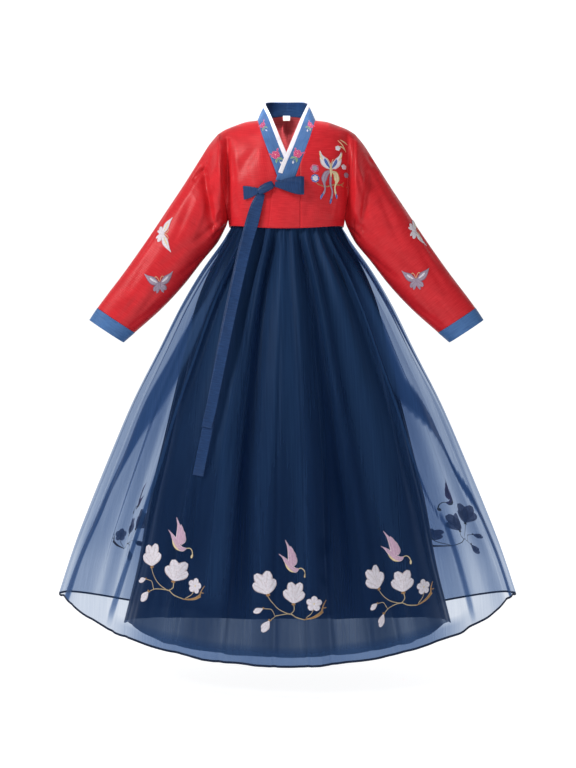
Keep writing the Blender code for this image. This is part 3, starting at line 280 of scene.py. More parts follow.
def new_material(name):
    """An empty material with its output node."""
    material = bpy.data.materials.new(name)
    material.use_nodes = True
    tree = material.node_tree
    tree.nodes.clear()
    return material, tree, add(tree, "OutputMaterial")


def calc(tree, operation, *values):
    """A sum, product or other operation on values."""
    return add(tree, "Math", dict(enumerate(values)), operation=operation)


def remap(tree, value, old, new):
    """A value carried from its old range to a new one."""
    return add(tree, "MapRange", {"Value": value, "From Min": old[0], "From Max": old[1],
                                  "To Min": new[0], "To Max": new[1]})


def streaks_of(tree, uv, scale, **noise):
    """Noise with its own number of streaks in a metre along each direction of the cloth."""
    place = add(tree, "Mapping", {"Vector": uv, "Scale": scale})
    return add(tree, "TexNoise", {"Vector": place, "Scale": 1.0, **noise}).outputs["Fac"]


def woven(tree, uv, operation, **wave):
    """Height of weft and warp threads that cross."""
    threads = [add(tree, "TexWave", {"Vector": uv, **wave}, bands_direction=way) for way in "YX"]
    return calc(tree, operation, *(way.outputs["Fac"] for way in threads))


def mixed_colour(tree, share, first, second):
    """One hex colour run into another."""
    return add(tree, "Mix", {"Factor": share, "A": linear(first), "B": linear(second)},
               data_type="RGBA").outputs["Result"]


NOISE_RANGE = (0.3, 0.7)       # nearly all of a noise lies between these
print("jacket red in linear light:", [round(v, 3) for v in linear("#C9373C")])

# %% [markdown]
# ## Woven silk satin
#
# The jacket, collar and ribbon are woven in slubbed silk: a satin face with thicker weft threads that
# run across it as short soft streaks. Real threads are 0.2 mm apart, which is far under what shows
# here, so the weave is drawn at 0.9 mm and the slubs at 3 to 30 mm. Every pattern reads the piece's
# UV map, which is in metres of cloth, so threads bend with the folds.

# %% Satin materials
WEAVE = 0.0009
SLUB_LENGTH = 0.030
SLUB_HEIGHT = 0.0026
WAVES = 20.0                   # a wave texture of scale 1 has this many waves in a metre, near enough


def satin(name, face, shade, light, roughness, sheen, relief=0.25, shine=0.45):
    """Slubbed satin with a face colour, a darker one and a lighter one."""
    material, tree, out = new_material(name)
    uv = add(tree, "UVMap", uv_map="cloth")
    slubs = streaks_of(tree, uv, (1.0 / SLUB_LENGTH, 1.0 / SLUB_HEIGHT, 1.0), Detail=3.0, Roughness=0.6)
    clouds = streaks_of(tree, uv, (28.0, 18.0, 1.0), Detail=2.0)
    weave = woven(tree, uv, "MULTIPLY", Scale=1.0 / WEAVE / WAVES, Distortion=0.6, Detail=1.0)
    tone = add(tree, "ValToRGB", {"Fac": slubs})
    ramp = tone.color_ramp.elements
    ramp[0].position, ramp[0].color = 0.30, linear(shade)
    ramp[1].position, ramp[1].color = 0.72, linear(light)
    ramp.new(0.50).color = linear(face)
    worn = remap(tree, clouds, NOISE_RANGE, (0.90, 1.06))
    colour = add(tree, "VectorMath", {0: tone, "Scale": worn}, operation="SCALE")
    height = calc(tree, "MULTIPLY_ADD", slubs, 0.35, weave)
    bumps = add(tree, "Bump", {"Height": height, "Strength": relief, "Distance": 0.0006})
    gloss = remap(tree, slubs, (0.0, 1.0), (roughness + 0.08, roughness - 0.08))
    shader = add(tree, "BsdfPrincipled",
                 {"Base Color": colour, "Roughness": gloss, "IOR": 1.5, "Specular IOR Level": shine,
                  "Anisotropic": 0.35, "Sheen Weight": sheen, "Sheen Roughness": 0.45, "Normal": bumps,
                  "Sheen Tint": linear(light)})
    tree.links.new(shader.outputs[0], out.inputs["Surface"])
    return material


RED_SATIN = satin("slubbed silk satin, madder red", "#D2252E", "#C91D28", "#DA3038", 0.40, 0.04,
                  shine=0.26)
BLUE_SATIN = satin("slubbed silk satin, dusty blue", "#4A72A8", "#40659B", "#547DB2", 0.46, 0.05,
                   shine=0.20)
NAVY_SATIN = satin("silk satin ribbon, ink blue", "#213E6B", "#1B345C", "#294A7A", 0.42, 0.03,
                   shine=0.22)
HEM_NAVY = satin("rolled organza, navy", "#14243F", "#0F1C33", "#1B304F", 0.60, 0.02, shine=0.15)
ROSE_LINING = satin("fine silk lining, rose", "#F25A60", "#EA4E56", "#F86E72", 0.60, 0.10, relief=0.10)
WHITE_COTTON = satin("starched cotton edging, white", "#F4F0F8", "#E9E5F0", "#FBF9FF", 0.70, 0.10,
                     relief=0.12)
LABEL_SATIN = satin("satin ribbon label, blank", "#F8F7F6", "#F0EFEF", "#FFFFFF", 0.55, 0.15)
print("satins:", [m.name for m in bpy.data.materials if "satin" in m.name])

# %% [markdown]
# ## Sheer organza and its lining
#
# Organza is an open plain weave of stiff fine threads: most light passes between them, tinted by
# the dye, and the rest scatters. It is made as a mix of a coloured Transparent shader and a matt one,
# never by the view angle. Where the cloth is bunched more thread lies in the way of the light, so
# each vertex carries how much cloth is gathered there, and the tint is raised to that power. On the
# organza's front that value also carries painted light: bands of painted highlight and painted shade
# for soft folds, and a lighter upper front. The threads are 0.3 mm apart and are drawn at 1.2 mm.

# %% Sheer materials
GLOW_SHARE = 0.30              # of the light that meets a thread, how much passes through it
ORGANZA_THREADS = 840.0        # drawn in a metre


def sheer(name, tint, thread, thread_light, cover, glow, roughness=0.50, gloss=0.35, sheen=0.15,
          glint="#FFFFFF"):
    """See-through cloth: tint of the light between its threads, the threads' colours, how much they
    cover, and the colour that light from behind gives them."""
    material, tree, out = new_material(name)
    uv = add(tree, "UVMap", uv_map="cloth")
    # The attribute holds how much cloth is bunched and, on the organza's front, painted light and shade.
    gather_and_painted_light = add(tree, "Attribute", attribute_name="gather_and_painted_light").outputs["Fac"]
    streaks = streaks_of(tree, uv, (260.0, 7.0, 1.0), Detail=2.0)
    power = calc(tree, "MULTIPLY", remap(tree, streaks, NOISE_RANGE, (0.92, 1.08)), gather_and_painted_light)
    clear = add(tree, "CombineColor")
    for channel, value in zip(("Red", "Green", "Blue"), tint):
        tree.links.new(calc(tree, "POWER", value, power).outputs[0], clear.inputs[channel])
    weave = woven(tree, uv, "MAXIMUM", Scale=ORGANZA_THREADS / WAVES, Distortion=0.5)
    relief = add(tree, "Bump", {"Height": weave, "Strength": 0.12, "Distance": 0.0004})
    tone = mixed_colour(tree, streaks, thread, thread_light)
    matt = add(tree, "BsdfPrincipled",
               {"Base Color": tone, "Roughness": roughness, "Specular IOR Level": gloss,
                "Sheen Weight": sheen, "Sheen Roughness": 0.4, "Normal": relief,
                "Sheen Tint": linear(glint), "Specular Tint": linear(glint)})
    lit = add(tree, "BsdfTranslucent", {"Color": linear(glow)})
    body = add(tree, "MixShader", {"Fac": GLOW_SHARE, 1: matt, 2: lit})
    glass = add(tree, "BsdfTransparent", {"Color": clear})
    covered = calc(tree, "SUBTRACT", 1.0, calc(tree, "POWER", 1.0 - cover, power))
    mixed = add(tree, "MixShader", {"Fac": covered, 1: glass, 2: body})
    tree.links.new(mixed.outputs[0], out.inputs["Surface"])
    return material


ORGANZA_NAVY = sheer("silk organza, navy", (0.550, 0.620, 0.735), "#213F69", "#365B8E", 0.17, "#6A93CC",
                     gloss=0.30, glint="#A9C2E6")
LINING_NAVY = sheer("fine silk lining, navy", (0.27, 0.34, 0.45), "#0F2039", "#183054", 0.76, "#1C3A66",
                    roughness=0.38, gloss=0.60, sheen=0.03, glint="#8FB0E0")
print("sheer cloths:", ORGANZA_NAVY.name, "and", LINING_NAVY.name)

# %% [markdown]
# ## A sheet of cloth
#
# A grid is the right start for cloth: its two directions are the warp and the weft. Each piece lays a
# flat grid over its form, vertex by vertex, and then gets a UV map measured in metres of cloth. The
# wall of a satin piece comes from a Solidify modifier, which grows inwards from the outer face.

# %% A sheet of cloth from its points
def placed(name, mesh, *materials):
    """A smooth object of the scene from a finished mesh."""
    for face in mesh.faces:
        face.smooth = True
    data = bpy.data.meshes.new(name)
    mesh.to_mesh(data)
    mesh.free()
    for material in materials:
        data.materials.append(material)
    piece = bpy.data.objects.new(name, data)
    bpy.context.scene.collection.objects.link(piece)
    return piece


def cloth(name, points, material, wall=0.0, closed=False, gather_and_painted_light=None, inside=None):
    """A sheet whose rows run up and whose columns run anticlockwise seen from above."""
    rows, columns = points.shape[:2]
    mesh = bmesh.new()
    bmesh.ops.create_grid(mesh, x_segments=columns - 1, y_segments=rows - 1, size=0.5)
    across, along = np.zeros((rows, columns)), np.zeros((rows, columns))
    across[:, 1:] = np.cumsum(np.linalg.norm(np.diff(points, axis=1), axis=2), axis=1)
    across -= across[:, columns // 2][:, None]
    along[1:] = np.cumsum(np.linalg.norm(np.diff(points, axis=0), axis=2), axis=0)
    places, flat = points.reshape(-1, 3), np.stack((across, along), axis=2).reshape(-1, 2)
    gather_and_light_values = np.ones(rows * columns) if gather_and_painted_light is None else gather_and_painted_light.reshape(-1)
    layer = mesh.loops.layers.uv.new("cloth")
    # Each vertex keeps its bunching, which on the organza's front also holds painted light and shade.
    gather_and_light_layer = mesh.verts.layers.float.new("gather_and_painted_light")
    for vertex, place, share in zip(mesh.verts, places, gather_and_light_values):
        vertex.co, vertex[gather_and_light_layer] = place, share
    for face in mesh.faces:
        for loop in face.loops:
            loop[layer].uv = flat[loop.vert.index]
    if closed:
        ends = [v for v in mesh.verts if v.index % columns in (0, columns - 1)]
        bmesh.ops.remove_doubles(mesh, verts=ends, dist=1e-5)
    piece = placed(name, mesh, material, inside or material)
    if wall:
        grow = piece.modifiers.new("wall", "SOLIDIFY")
        grow.thickness, grow.offset, grow.material_offset = wall, -1.0, 1
    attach(piece, "root")
    return piece


def outward(points):
    """Unit normals of a grid whose rows run up and whose columns run anticlockwise."""
    normals = np.cross(np.gradient(points, axis=1), np.gradient(points, axis=0))
    return normals / np.maximum(np.linalg.norm(normals, axis=2, keepdims=True), 1e-12)


def area(points):
    """Area of a grid of points in square metres."""
    a, b = points[1:, 1:] - points[:-1, :-1], points[1:, :-1] - points[:-1, 1:]
    return float(np.linalg.norm(np.cross(a, b), axis=2).sum() / 2.0)


square = np.array([[(x, 0.0, z) for x in (0, 1, 2)] for z in (0, 1, 2)], float)
print("a square of 2 by 2 has area", round(area(square), 2))

# %% [markdown]
# ## The body of the jacket
#
# Seen from above, the jacket's chest is an oval that closes towards the shoulder line, where front and
# back meet. Each height of it is given as a level, 0 at the hem and 1 on the shoulder. The armhole is
# a slanted ring from armpit to shoulder point.

# %% The jacket's form
def hem_height(side, x):
    """Height of the jacket's hem, lower at the centre than at the side."""
    return blend(HEM_CENTRE_Z[side], SIDE_HEM_Z, np.minimum(np.abs(x) / CHEST_HALF_WIDTH, 1.0) ** 2)


def ridge_height(side, x):
    """Height of the shoulder line, carried on in a low arch over the neck."""
    x = np.abs(x)
    arch = np.minimum(x / NECK_SIDE[0], 1.0) ** RIDGE_ARCH[side]
    return np.where(x < NECK_SIDE[0], blend(RIDGE_CENTRE_Z[side], NECK_SIDE[1], arch),
                    curve(RIDGE["x"], RIDGE["z"], x))


def body_height(side, x, level):
    """Height at x of a level."""
    low = hem_height(side, x)
    return low + level * (ridge_height(side, x) - low)


def level_of(side, x, z):
    """Level of a point of the body seen from the front."""
    low = hem_height(side, x)
    return (z - low) / (ridge_height(side, x) - low)


def body_edge(side, steps=(8, 52)):
    """Side seam and armhole from hem to shoulder: level, x and depth of each point."""
    up = np.linspace(0.0, 1.0, steps[0], endpoint=False)
    round_hole = np.linspace(math.pi, 0.0, steps[1])
    share = (1.0 + np.cos(round_hole)) / 2.0
    x, z = (np.concatenate((blend(low, ARMPIT[i], up), blend(ARMPIT[i], SHOULDER_POINT[i], share)))
            for i, low in enumerate((CHEST_HALF_WIDTH, SIDE_HEM_Z)))
    depth = np.concatenate((up * 0.0, ARMHOLE_DEPTH[side] * np.sin(round_hole)))
    return level_of(side, x, z), x, depth


EDGES = {side: body_edge(side) for side in ("front", "back")}


def centre_depth(side, level):
    """How far the body's centre line stands from the shoulder plane."""
    tuck = 1.0 - HEM_TUCK * np.maximum(0.0, 1.0 - level / TUCK_LEVEL) ** 2
    return CHEST_DEPTH[side] * tuck * np.sqrt(np.maximum(0.0, 1.0 - level ** SHOULDER_ROUNDING[side]))


def oval_width(side, level):
    """Half width of the oval that the body has at a level."""
    x, depth = (np.interp(level, EDGES[side][0], EDGES[side][i]) for i in (1, 2))
    share = np.minimum(depth / np.maximum(centre_depth(side, level), 1e-6), 0.999)
    return x / np.sqrt(1.0 - share * share)


def body_point(side, x, level):
    """Points on the jacket's outer face."""
    share = np.minimum(np.abs(x) / oval_width(side, level), 1.0)
    depth = centre_depth(side, level) * np.sqrt(np.maximum(0.0, 1.0 - share * share))
    y = -depth if side == "front" else depth
    return np.stack(np.broadcast_arrays(x, y, body_height(side, x, level)), axis=-1)


SEARCH_STEPS = 40              # more than enough for a search to settle


def neckline_x(level):
    """Where a level of the front meets the neckline or, lower down, the under front's free edge."""
    x = np.full(np.shape(level), NECKLINE["x"][2])
    for _ in range(SEARCH_STEPS):
        z = body_height("front", x, level)
        x = np.where(z >= NECKLINE["z"][0], curve(NECKLINE["z"], NECKLINE["x"], z),
                     curve(UNDER_EDGE["z"], UNDER_EDGE["x"], z))
    return x


def under_step(x):
    """How far the under front lies behind the upper one."""
    return UNDER_STEP * ease((UNDER_RAMP[0] - x) / (UNDER_RAMP[0] - UNDER_RAMP[1]))


print("chest depth halfway up:", np.round(body_point("front", 0.0, np.array(0.5)), 4))

# %% [markdown]
# ## Creases
#
# A worn jacket creases where it is pulled: from the armhole down, and from the armpit across. Each
# crease is given as a line from one point to another, seen from the front, with a width and
# a depth. Troughs are positive and ridges negative, and all of them fade out at their ends.

# %% Creases of the body
# x and z of both ends, width and depth
FRONT_CREASES = ((0.15, -0.04, 0.128, -0.15, 0.01, 0.0032),
                 (0.128, -0.06, 0.112, -0.19, 0.008, -0.0016),
                 (0.112, -0.15, 0.085, -0.262, 0.009, 0.0022),
                 (0.14, -0.185, 0.126, -0.27, 0.007, 0.0028),
                 (0.152, -0.12, 0.14, -0.24, 0.006, -0.002),
                 (0.06, -0.19, 0.05, -0.276, 0.008, 0.0014),
                 (0.095, -0.075, 0.07, -0.15, 0.012, 0.0014),
                 (-0.15, -0.045, -0.13, -0.17, 0.01, 0.0034),
                 (-0.132, -0.06, -0.118, -0.2, 0.008, -0.0018),
                 (-0.14, -0.16, -0.118, -0.262, 0.008, 0.003),
                 (-0.104, -0.11, -0.088, -0.235, 0.01, 0.0018),
                 (-0.15, -0.15, -0.146, -0.24, 0.006, -0.002),
                 (-0.07, -0.13, -0.062, -0.215, 0.01, 0.0012),
                 (-0.126, -0.22, -0.096, -0.276, 0.007, 0.0016))
BACK_CREASES = ((0.148, -0.05, 0.124, -0.18, 0.011, 0.0034),
                (0.12, -0.08, 0.102, -0.21, 0.009, -0.0016),
                (0.138, -0.17, 0.112, -0.262, 0.008, 0.0028),
                (0.08, -0.06, 0.066, -0.18, 0.013, 0.0016),
                (0.044, -0.15, 0.04, -0.265, 0.009, 0.0014),
                (-0.15, -0.055, -0.126, -0.17, 0.01, 0.003),
                (-0.118, -0.09, -0.106, -0.225, 0.009, -0.0018),
                (-0.14, -0.16, -0.11, -0.256, 0.008, 0.0026),
                (-0.078, -0.05, -0.07, -0.165, 0.012, 0.0018),
                (-0.034, -0.16, -0.038, -0.262, 0.008, 0.0012))
SEAM_FADE = 0.014
CREASE_ENDS = (0.04, 0.96)


def creased(points, table, fade):
    """Points pressed in along a table of creases, by a share that fades towards the seams."""
    total = np.zeros(points.shape[:2])
    for x0, z0, x1, z1, width, depth in table:
        run = np.array((x1 - x0, z1 - z0))
        seen = points[..., (0, 2)] - np.array((x0, z0))
        share = np.clip((seen @ run) / (run @ run), 0.0, 1.0)
        away = np.linalg.norm(seen - share[..., None] * run, axis=-1)
        total += depth * bump(away, width) * np.sin(math.pi * np.clip(share, *CREASE_ENDS))
    return points - outward(points) * (total * fade)[..., None]


def seam_fade(points, columns=(0, -1), rows=(-1,)):
    """1 inside a panel, 0 on the named edge columns and rows."""
    fade = np.ones(points.shape[:2])
    for c in columns:
        fade *= ease(np.linalg.norm(points - points[:, c][:, None], axis=2) / SEAM_FADE)
    for r in rows:
        fade *= ease(np.linalg.norm(points - points[r][None], axis=2) / SEAM_FADE)
    return fade


# Deep folds where chest and sleeve meet, seen from the front, press both towards the back: x and z of
# both ends, width on the wearer's right and left flank, and depth.
PRESSED = ((-0.17, -0.058, -0.166, -0.262, 0.02, 0.0098, -0.029),
           (-0.149, -0.056, -0.1465, -0.266, 0.007, 0.0045, 0.018),
           (0.157, -0.05, 0.153, -0.266, 0.013, 0.005, 0.019),
           (0.18, -0.058, 0.174, -0.25, 0.009, 0.02, -0.023),
           (-0.208, -0.128, -0.186, -0.266, 0.01, 0.005, 0.018),
           (-0.199, -0.112, -0.234, -0.15, 0.005, 0.006, 0.009),
           (0.206, -0.14, 0.19, -0.27, 0.005, 0.01, 0.01),
           (0.212, -0.1, 0.232, -0.118, 0.005, 0.0045, 0.007),
           (0.13, -0.07, 0.116, -0.225, 0.012, 0.008, 0.005),
           (-0.07, -0.075, -0.125, -0.15, 0.013, 0.01, 0.005),
           (-0.125, -0.19, -0.07, -0.24, 0.012, 0.01, 0.004),
           (0.064, -0.2, 0.126, -0.15, 0.011, 0.013, 0.0045))
FULL_FRONT = 0.035             # this far in front of the shoulder plane they are at full depth
PRESS_ENDS, PRESS_FLARE, PRESS_ROUND = (0.08, 0.86), 1.4, 0.6


def pressed(points):
    """Points of chest or sleeve moved back by the deep folds, only where they face the front."""
    total = np.zeros(points.shape[:-1])
    for x0, z0, x1, z1, right, left, depth in PRESSED:
        run = np.array((x1 - x0, z1 - z0))
        seen = points[..., (0, 2)] - np.array((x0, z0))
        share = np.clip((seen @ run) / (run @ run), 0.0, 1.0)
        off = seen - share[..., None] * run
        away = np.linalg.norm(off, axis=-1)
        wide = np.where(off[..., 0] < 0.0, right, left) * blend(1.0, PRESS_FLARE, share)
        total += depth * bump(away, wide) * np.sin(math.pi * np.clip(share, *PRESS_ENDS)) ** PRESS_ROUND
    front = ease(-points[..., 1] / FULL_FRONT)
    return points + BACKWARD * (total * front)[..., None]


print("creases in front:", len(FRONT_CREASES), "behind:", len(BACK_CREASES), "deep:", len(PRESSED))

# %% [markdown]
# ## The two fronts and the overlap gusset
#
# The upper front is cut with a gusset, a narrow extra panel that carries it past the centre. The under
# front passes behind it. They are hung on the shoulders.

# %% Fronts and gusset
GUSSET_TOP_RISE = 0.03         # its upper edge is read this far past the neckline's second row


def front_grid(least_x, columns=44):
    """Outer face of a front from the neckline, or least_x, out to the armhole."""
    level, x_out, _ = EDGES["front"]
    width = oval_width("front", level)
    x_in = np.maximum(neckline_x(level), least_x)
    start, end = (np.arcsin(np.clip(x / width, -1.0, 1.0)) for x in (x_in, x_out))
    share = np.linspace(0.0, 1.0, columns)
    x = width[:, None] * np.sin(blend(start[:, None], end[:, None], share))
    return body_point("front", x, level[:, None])


def red_panel(name, grid):
    """A panel of the jacket, lined."""
    return cloth(name, grid, RED_SATIN, JACKET_CLOTH, inside=ROSE_LINING)


left = front_grid(GUSSET_SEAM_X)
left = pressed(creased(left, FRONT_CREASES, seam_fade(left)))
front_left = red_panel("satin_front_left", left)
under = front_grid(UNDER_EDGE["x"][0])
under[..., 1] += under_step(under[..., 0])
right = mirrored(under)[:, ::-1]
right = pressed(creased(right, FRONT_CREASES, seam_fade(right)))
front_right = red_panel("satin_front_right", right)


def gusset_grid(rows=30, columns=30):
    """Outer face of the gusset, from the free front edge to its seam on the upper front."""
    z = np.linspace(COLLAR_END_Z, NECKLINE["z"][1] + GUSSET_TOP_RISE, 24)
    line = np.stack((curve(NECKLINE["z"], NECKLINE["x"], z), z), axis=1)
    line = line[line[:, 0] < GUSSET_SEAM_X - 2.0 * GUSSET_GAP]
    line = line + np.array((GUSSET_GAP, -2.0 * GUSSET_GAP))
    top = np.concatenate((np.linspace(GUSSET_TOP_LEFT, line[0], 12)[:-1], line))
    last = GUSSET_SEAM_X - GUSSET_GAP
    slope = (line[-1] - line[-2]) / (line[-1, 0] - line[-2, 0])
    top = np.concatenate((top, [line[-1] + slope * (last - line[-1, 0])]))
    reach = reach_of(top)
    even = np.linspace(0.0, reach[-1], columns)
    top = np.stack([np.interp(even, reach, top[:, i]) for i in (0, 1)], axis=1)
    low_x = np.linspace(GUSSET_HEM_X, last, columns)
    low = np.stack((low_x, hem_height("front", low_x)), axis=1)
    grid = blend(low[None], top[None], np.linspace(0.0, 1.0, rows)[:, None, None])
    return body_point("front", grid[..., 0], level_of("front", grid[..., 0], grid[..., 1]))


gusset_points = gusset_grid()
gusset = red_panel("satin_gusset", gusset_points)
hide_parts("jacket_front_left")
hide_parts("jacket_front_right")
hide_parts("jacket_gusset")
print("fronts and gusset:", [round(area(grid), 4) for grid in (left, right, gusset_points)])

# %% [markdown]
# ## The backs
#
# The back is cut in two and sewn down the centre. It ends under the collar along an oval that falls
# behind the neck.

# %% Backs
def back_neck_level(x):
    """Level at which the back ends under the collar."""
    wanted = BACK_NECK_DEPTH * np.sqrt(np.maximum(0.0, 1.0 - (x / NECK_SIDE[0]) ** 2))
    low, high = np.full(np.shape(x), 0.5), np.ones(np.shape(x))
    for _ in range(SEARCH_STEPS):
        middle = (low + high) / 2.0
        inside = body_point("back", x, middle)[..., 1] > wanted
        low, high = np.where(inside, middle, low), np.where(inside, high, middle)
    return np.where(x >= NECK_SIDE[0], 1.0, low)


def back_grid(neck=22, shoulder=24):
    """Outer face of the wearer's left back, from the centre seam to the armhole."""
    top_x = np.concatenate((NECK_SIDE[0] * np.sin(np.linspace(0.0, math.pi / 2.0, neck, endpoint=False)),
                            np.linspace(NECK_SIDE[0], SHOULDER_POINT[0], shoulder)))
    level, x_out, _ = (part[:, None] for part in EDGES["back"])
    share, width = top_x / SHOULDER_POINT[0], oval_width("back", level)
    round_x = width * np.sin(np.arcsin(np.clip(x_out / width, -1.0, 1.0)) * share)
    x = blend(round_x, x_out * share, level ** 3)
    return body_point("back", x, level * back_neck_level(top_x))


half_back = back_grid()
backs = {}
for side, grid in (("left", half_back[:, ::-1]), ("right", mirrored(half_back))):
    grid = creased(grid, BACK_CREASES, seam_fade(grid))
    backs[side] = red_panel("satin_back_" + side, grid)
    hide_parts("jacket_back_" + side)
print("each back:", round(area(half_back), 4), "square metres")

# %% [markdown]
# ## Collar and its white edging
#
# The collar is one straight band. It stands behind the neck, turns over the shoulder seam and lies
# flat on the chest, where its upper end covers the under one. The starched white edging is folded
# over its free edge and sewn on by hand, and it is replaced when it is soiled.

# %% Collar
COLLAR_CROWN = 0.0012          # how far the middle of the band stands up
EDGING_PROUD = 0.0014
COLLAR_BACK_STEPS = 26


def free_edge(table, seam, at):
    """Points of the collar's free edge beside places on its seam."""
    return np.stack([curve(table[seam], table["edge_" + c], at) for c in "xyz"], 1)


def half_collar(is_under, front_steps=60):
    """Seam and free edge of half the collar, from the centre back to its lower end."""
    x = NECK_SIDE[0] * np.sin(np.linspace(0.0, math.pi / 2.0, COLLAR_BACK_STEPS, endpoint=False))
    behind = body_point("back", x, back_neck_level(x))
    behind_edge = free_edge(COLLAR_BACK, "seam_x", x)
    z = blend(NECK_SIDE[1], COLLAR_END_Z, np.linspace(0.0, 1.0, front_steps) ** 1.3)
    x = curve(NECKLINE["z"], NECKLINE["x"], z)
    before = body_point("front", x, level_of("front", x, z))
    before_edge = free_edge(COLLAR_FRONT, "seam_z", z)
    if is_under:
        before[:, 1] += under_step(before[:, 0])
        sunk = COLLAR_SUNK * np.maximum(0.0, -before_edge[:, 0])
        before_edge[:, 1] += under_step(before_edge[:, 0]) + sunk
    return np.concatenate((behind, before)), np.concatenate((behind_edge, before_edge))


def collar_lines():
    """Seam and free edge round the neck, from the upper end on the wearer's left to the under one."""
    left, right = half_collar(False), half_collar(True)
    return [np.concatenate((a[:0:-1], mirrored(b))) for a, b in zip(left, right)]


def collar_grid(shares):
    """Points of the collar at shares of its width, from the seam to the free edge."""
    seam, edge = collar_lines()
    return seam[None] + (edge - seam)[None] * np.asarray(shares)[..., None]


crown = np.sin(np.linspace(0.0, math.pi, 14))[:, None, None] * COLLAR_CROWN
collar_points = collar_grid(np.linspace(0.0, 1.0, 14)[:, None])
collar_points = collar_points + outward(collar_points) * crown
collar_band = cloth("collar_band", collar_points, BLUE_SATIN, 0.0012, inside=NAVY_SATIN)
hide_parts("collar")

seam_line, edge_line = collar_lines()
band_width = np.linalg.norm(edge_line - seam_line, axis=1)
strip = collar_grid(1.0 - EDGING_WIDTH / band_width[None] * np.linspace(1.0, 0.0, 7)[:, None])
strip = (strip + outward(strip) * EDGING_PROUD)[:, seam_line[:, 2] > EDGING_END_Z]
edging = cloth("white_edging", strip, WHITE_COTTON, 0.0010)
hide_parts("collar_edging")
print("collar:", round(area(collar_points), 4), "edging:", round(area(strip), 4), "square metres")

# %% [markdown]
# ## Neck label
#
# A blank woven label is sewn by its upper edge to the centre back, inside the neck.

# %% Blank label
LABEL_WIDTH, LABEL_HEIGHT, LABEL_TOP_Z = 0.0190, 0.0135, 0.0290
LABEL_PROUD, LABEL_WAVE, LABEL_TURNS = 0.0014, 0.0004, 300.0
BESIDE_SEAM = 0.0008           # a line that would meet the centre seam is moved this far to its side


def tree_of(piece):
    """Search tree of a finished piece, with its modifiers."""
    seen = piece.evaluated_get(bpy.context.evaluated_depsgraph_get())
    return BVHTree.FromPolygons([v.co for v in seen.data.vertices],
                                [tuple(p.vertices) for p in seen.data.polygons])


def first_hit(trees, start, way, distance=2.0):
    """The nearest place where a line from start meets one of the trees."""
    hits = [tree.ray_cast(Vector(start), Vector(way), distance) for tree in trees]
    hits = [hit for hit in hits if hit[0] is not None]
    return min(hits, key=lambda hit: hit[3]) if hits else None


back_trees = [tree_of(piece) for piece in (*backs.values(), collar_band)]
label_points = np.zeros((10, 14, 3))
label_points[..., 0] = np.linspace(-LABEL_WIDTH / 2.0, LABEL_WIDTH / 2.0, 14)
label_points[..., 2] = np.linspace(LABEL_TOP_Z, LABEL_TOP_Z - LABEL_HEIGHT, 10)[:, None]
for point in label_points.reshape(-1, 3):
    start = (point[0] if abs(point[0]) > BESIDE_SEAM else BESIDE_SEAM, 0.0, point[2])
    wave = LABEL_WAVE * math.cos(point[0] * LABEL_TURNS)
    point[1] = first_hit(back_trees, start, BACKWARD)[0].y - LABEL_PROUD - wave
label_points[..., 1] = label_points[..., 1].min(axis=0)
label = cloth("blank_label", label_points, LABEL_SATIN, 0.0004)
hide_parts("neck_label")
print("label at y", round(label_points[0][6][1], 4))

# %% [markdown]
# ## Sleeves and cuffs
#
# The sleeve is one tube that leaves the body at the slanted armhole and hangs forward and out. Each
# fold runs along it from the armhole or from the inside of the elbow and fades towards the cuff. Turn
# is counted from the outer edge (0) over the front (90) to the inner edge (180) and up the back.

# %% Sleeve folds
# turn and drift in degrees, where it starts and ends along the sleeve, width in degrees and depth
SLEEVE_FOLDS = ((62, 4, 0.02, 0.26, 17, 0.009), (112, -6, 0.1, 0.4, 20, 0.008),
                (140, 8, 0.03, 0.3, 16, 0.0085), (238, 0, 0.06, 0.36, 20, 0.008),
                (290, 0, 0.02, 0.25, 17, 0.008))
SLEEVE_CREASES = ((88, 18, 0.01, 0.2, 7, 0.004), (40, 24, 0.06, 0.34, 8, 0.003),
                  (128, -30, 0.14, 0.46, 7, 0.0036), (160, -34, 0.02, 0.34, 6, 0.004),
                  (74, 30, 0.22, 0.52, 8, 0.0026), (100, -26, 0.38, 0.66, 9, 0.0026),
                  (150, -40, 0.34, 0.6, 8, 0.003), (62, 20, 0.5, 0.82, 9, 0.0022),
                  (120, 22, 0.56, 0.9, 9, 0.002), (30, 14, 0.4, 0.72, 8, 0.002),
                  (142, -16, 0.66, 0.96, 8, 0.0018), (96, 4, 0.7, 0.98, 6, 0.0014),
                  (210, 20, 0.02, 0.28, 8, 0.0036), (262, -20, 0.08, 0.36, 8, 0.003),
                  (318, 16, 0.04, 0.3, 8, 0.003), (228, 30, 0.26, 0.54, 9, 0.0028),
                  (284, -24, 0.34, 0.62, 9, 0.0026), (246, 20, 0.54, 0.86, 9, 0.0022),
                  (300, -14, 0.6, 0.94, 9, 0.002), (200, 12, 0.44, 0.76, 8, 0.0022),
                  (76, 10, 0.04, 0.18, 5, -0.0026), (126, -10, 0.03, 0.22, 5, -0.0026),
                  (100, 20, 0.18, 0.4, 6, -0.0018), (150, -20, 0.12, 0.3, 5, -0.0024),
                  (50, 16, 0.16, 0.42, 7, -0.002), (254, 10, 0.04, 0.24, 6, -0.0024),
                  (270, -12, 0.3, 0.55, 7, -0.0018))


def sleeve_fold(turn, along, table):
    """How far folds draw the sleeve in at turns, in degrees, and shares of its length."""
    total = np.zeros(np.broadcast(turn, along).shape)
    for middle, drift, start, end, width, depth in table:
        run = np.clip((along - start) / (end - start), 0.0, 1.0)
        away = (turn - middle - drift * (run - 0.5) + 180.0) % 360.0 - 180.0
        total += depth * np.sin(math.pi * run) * bump(away, width)
    return total


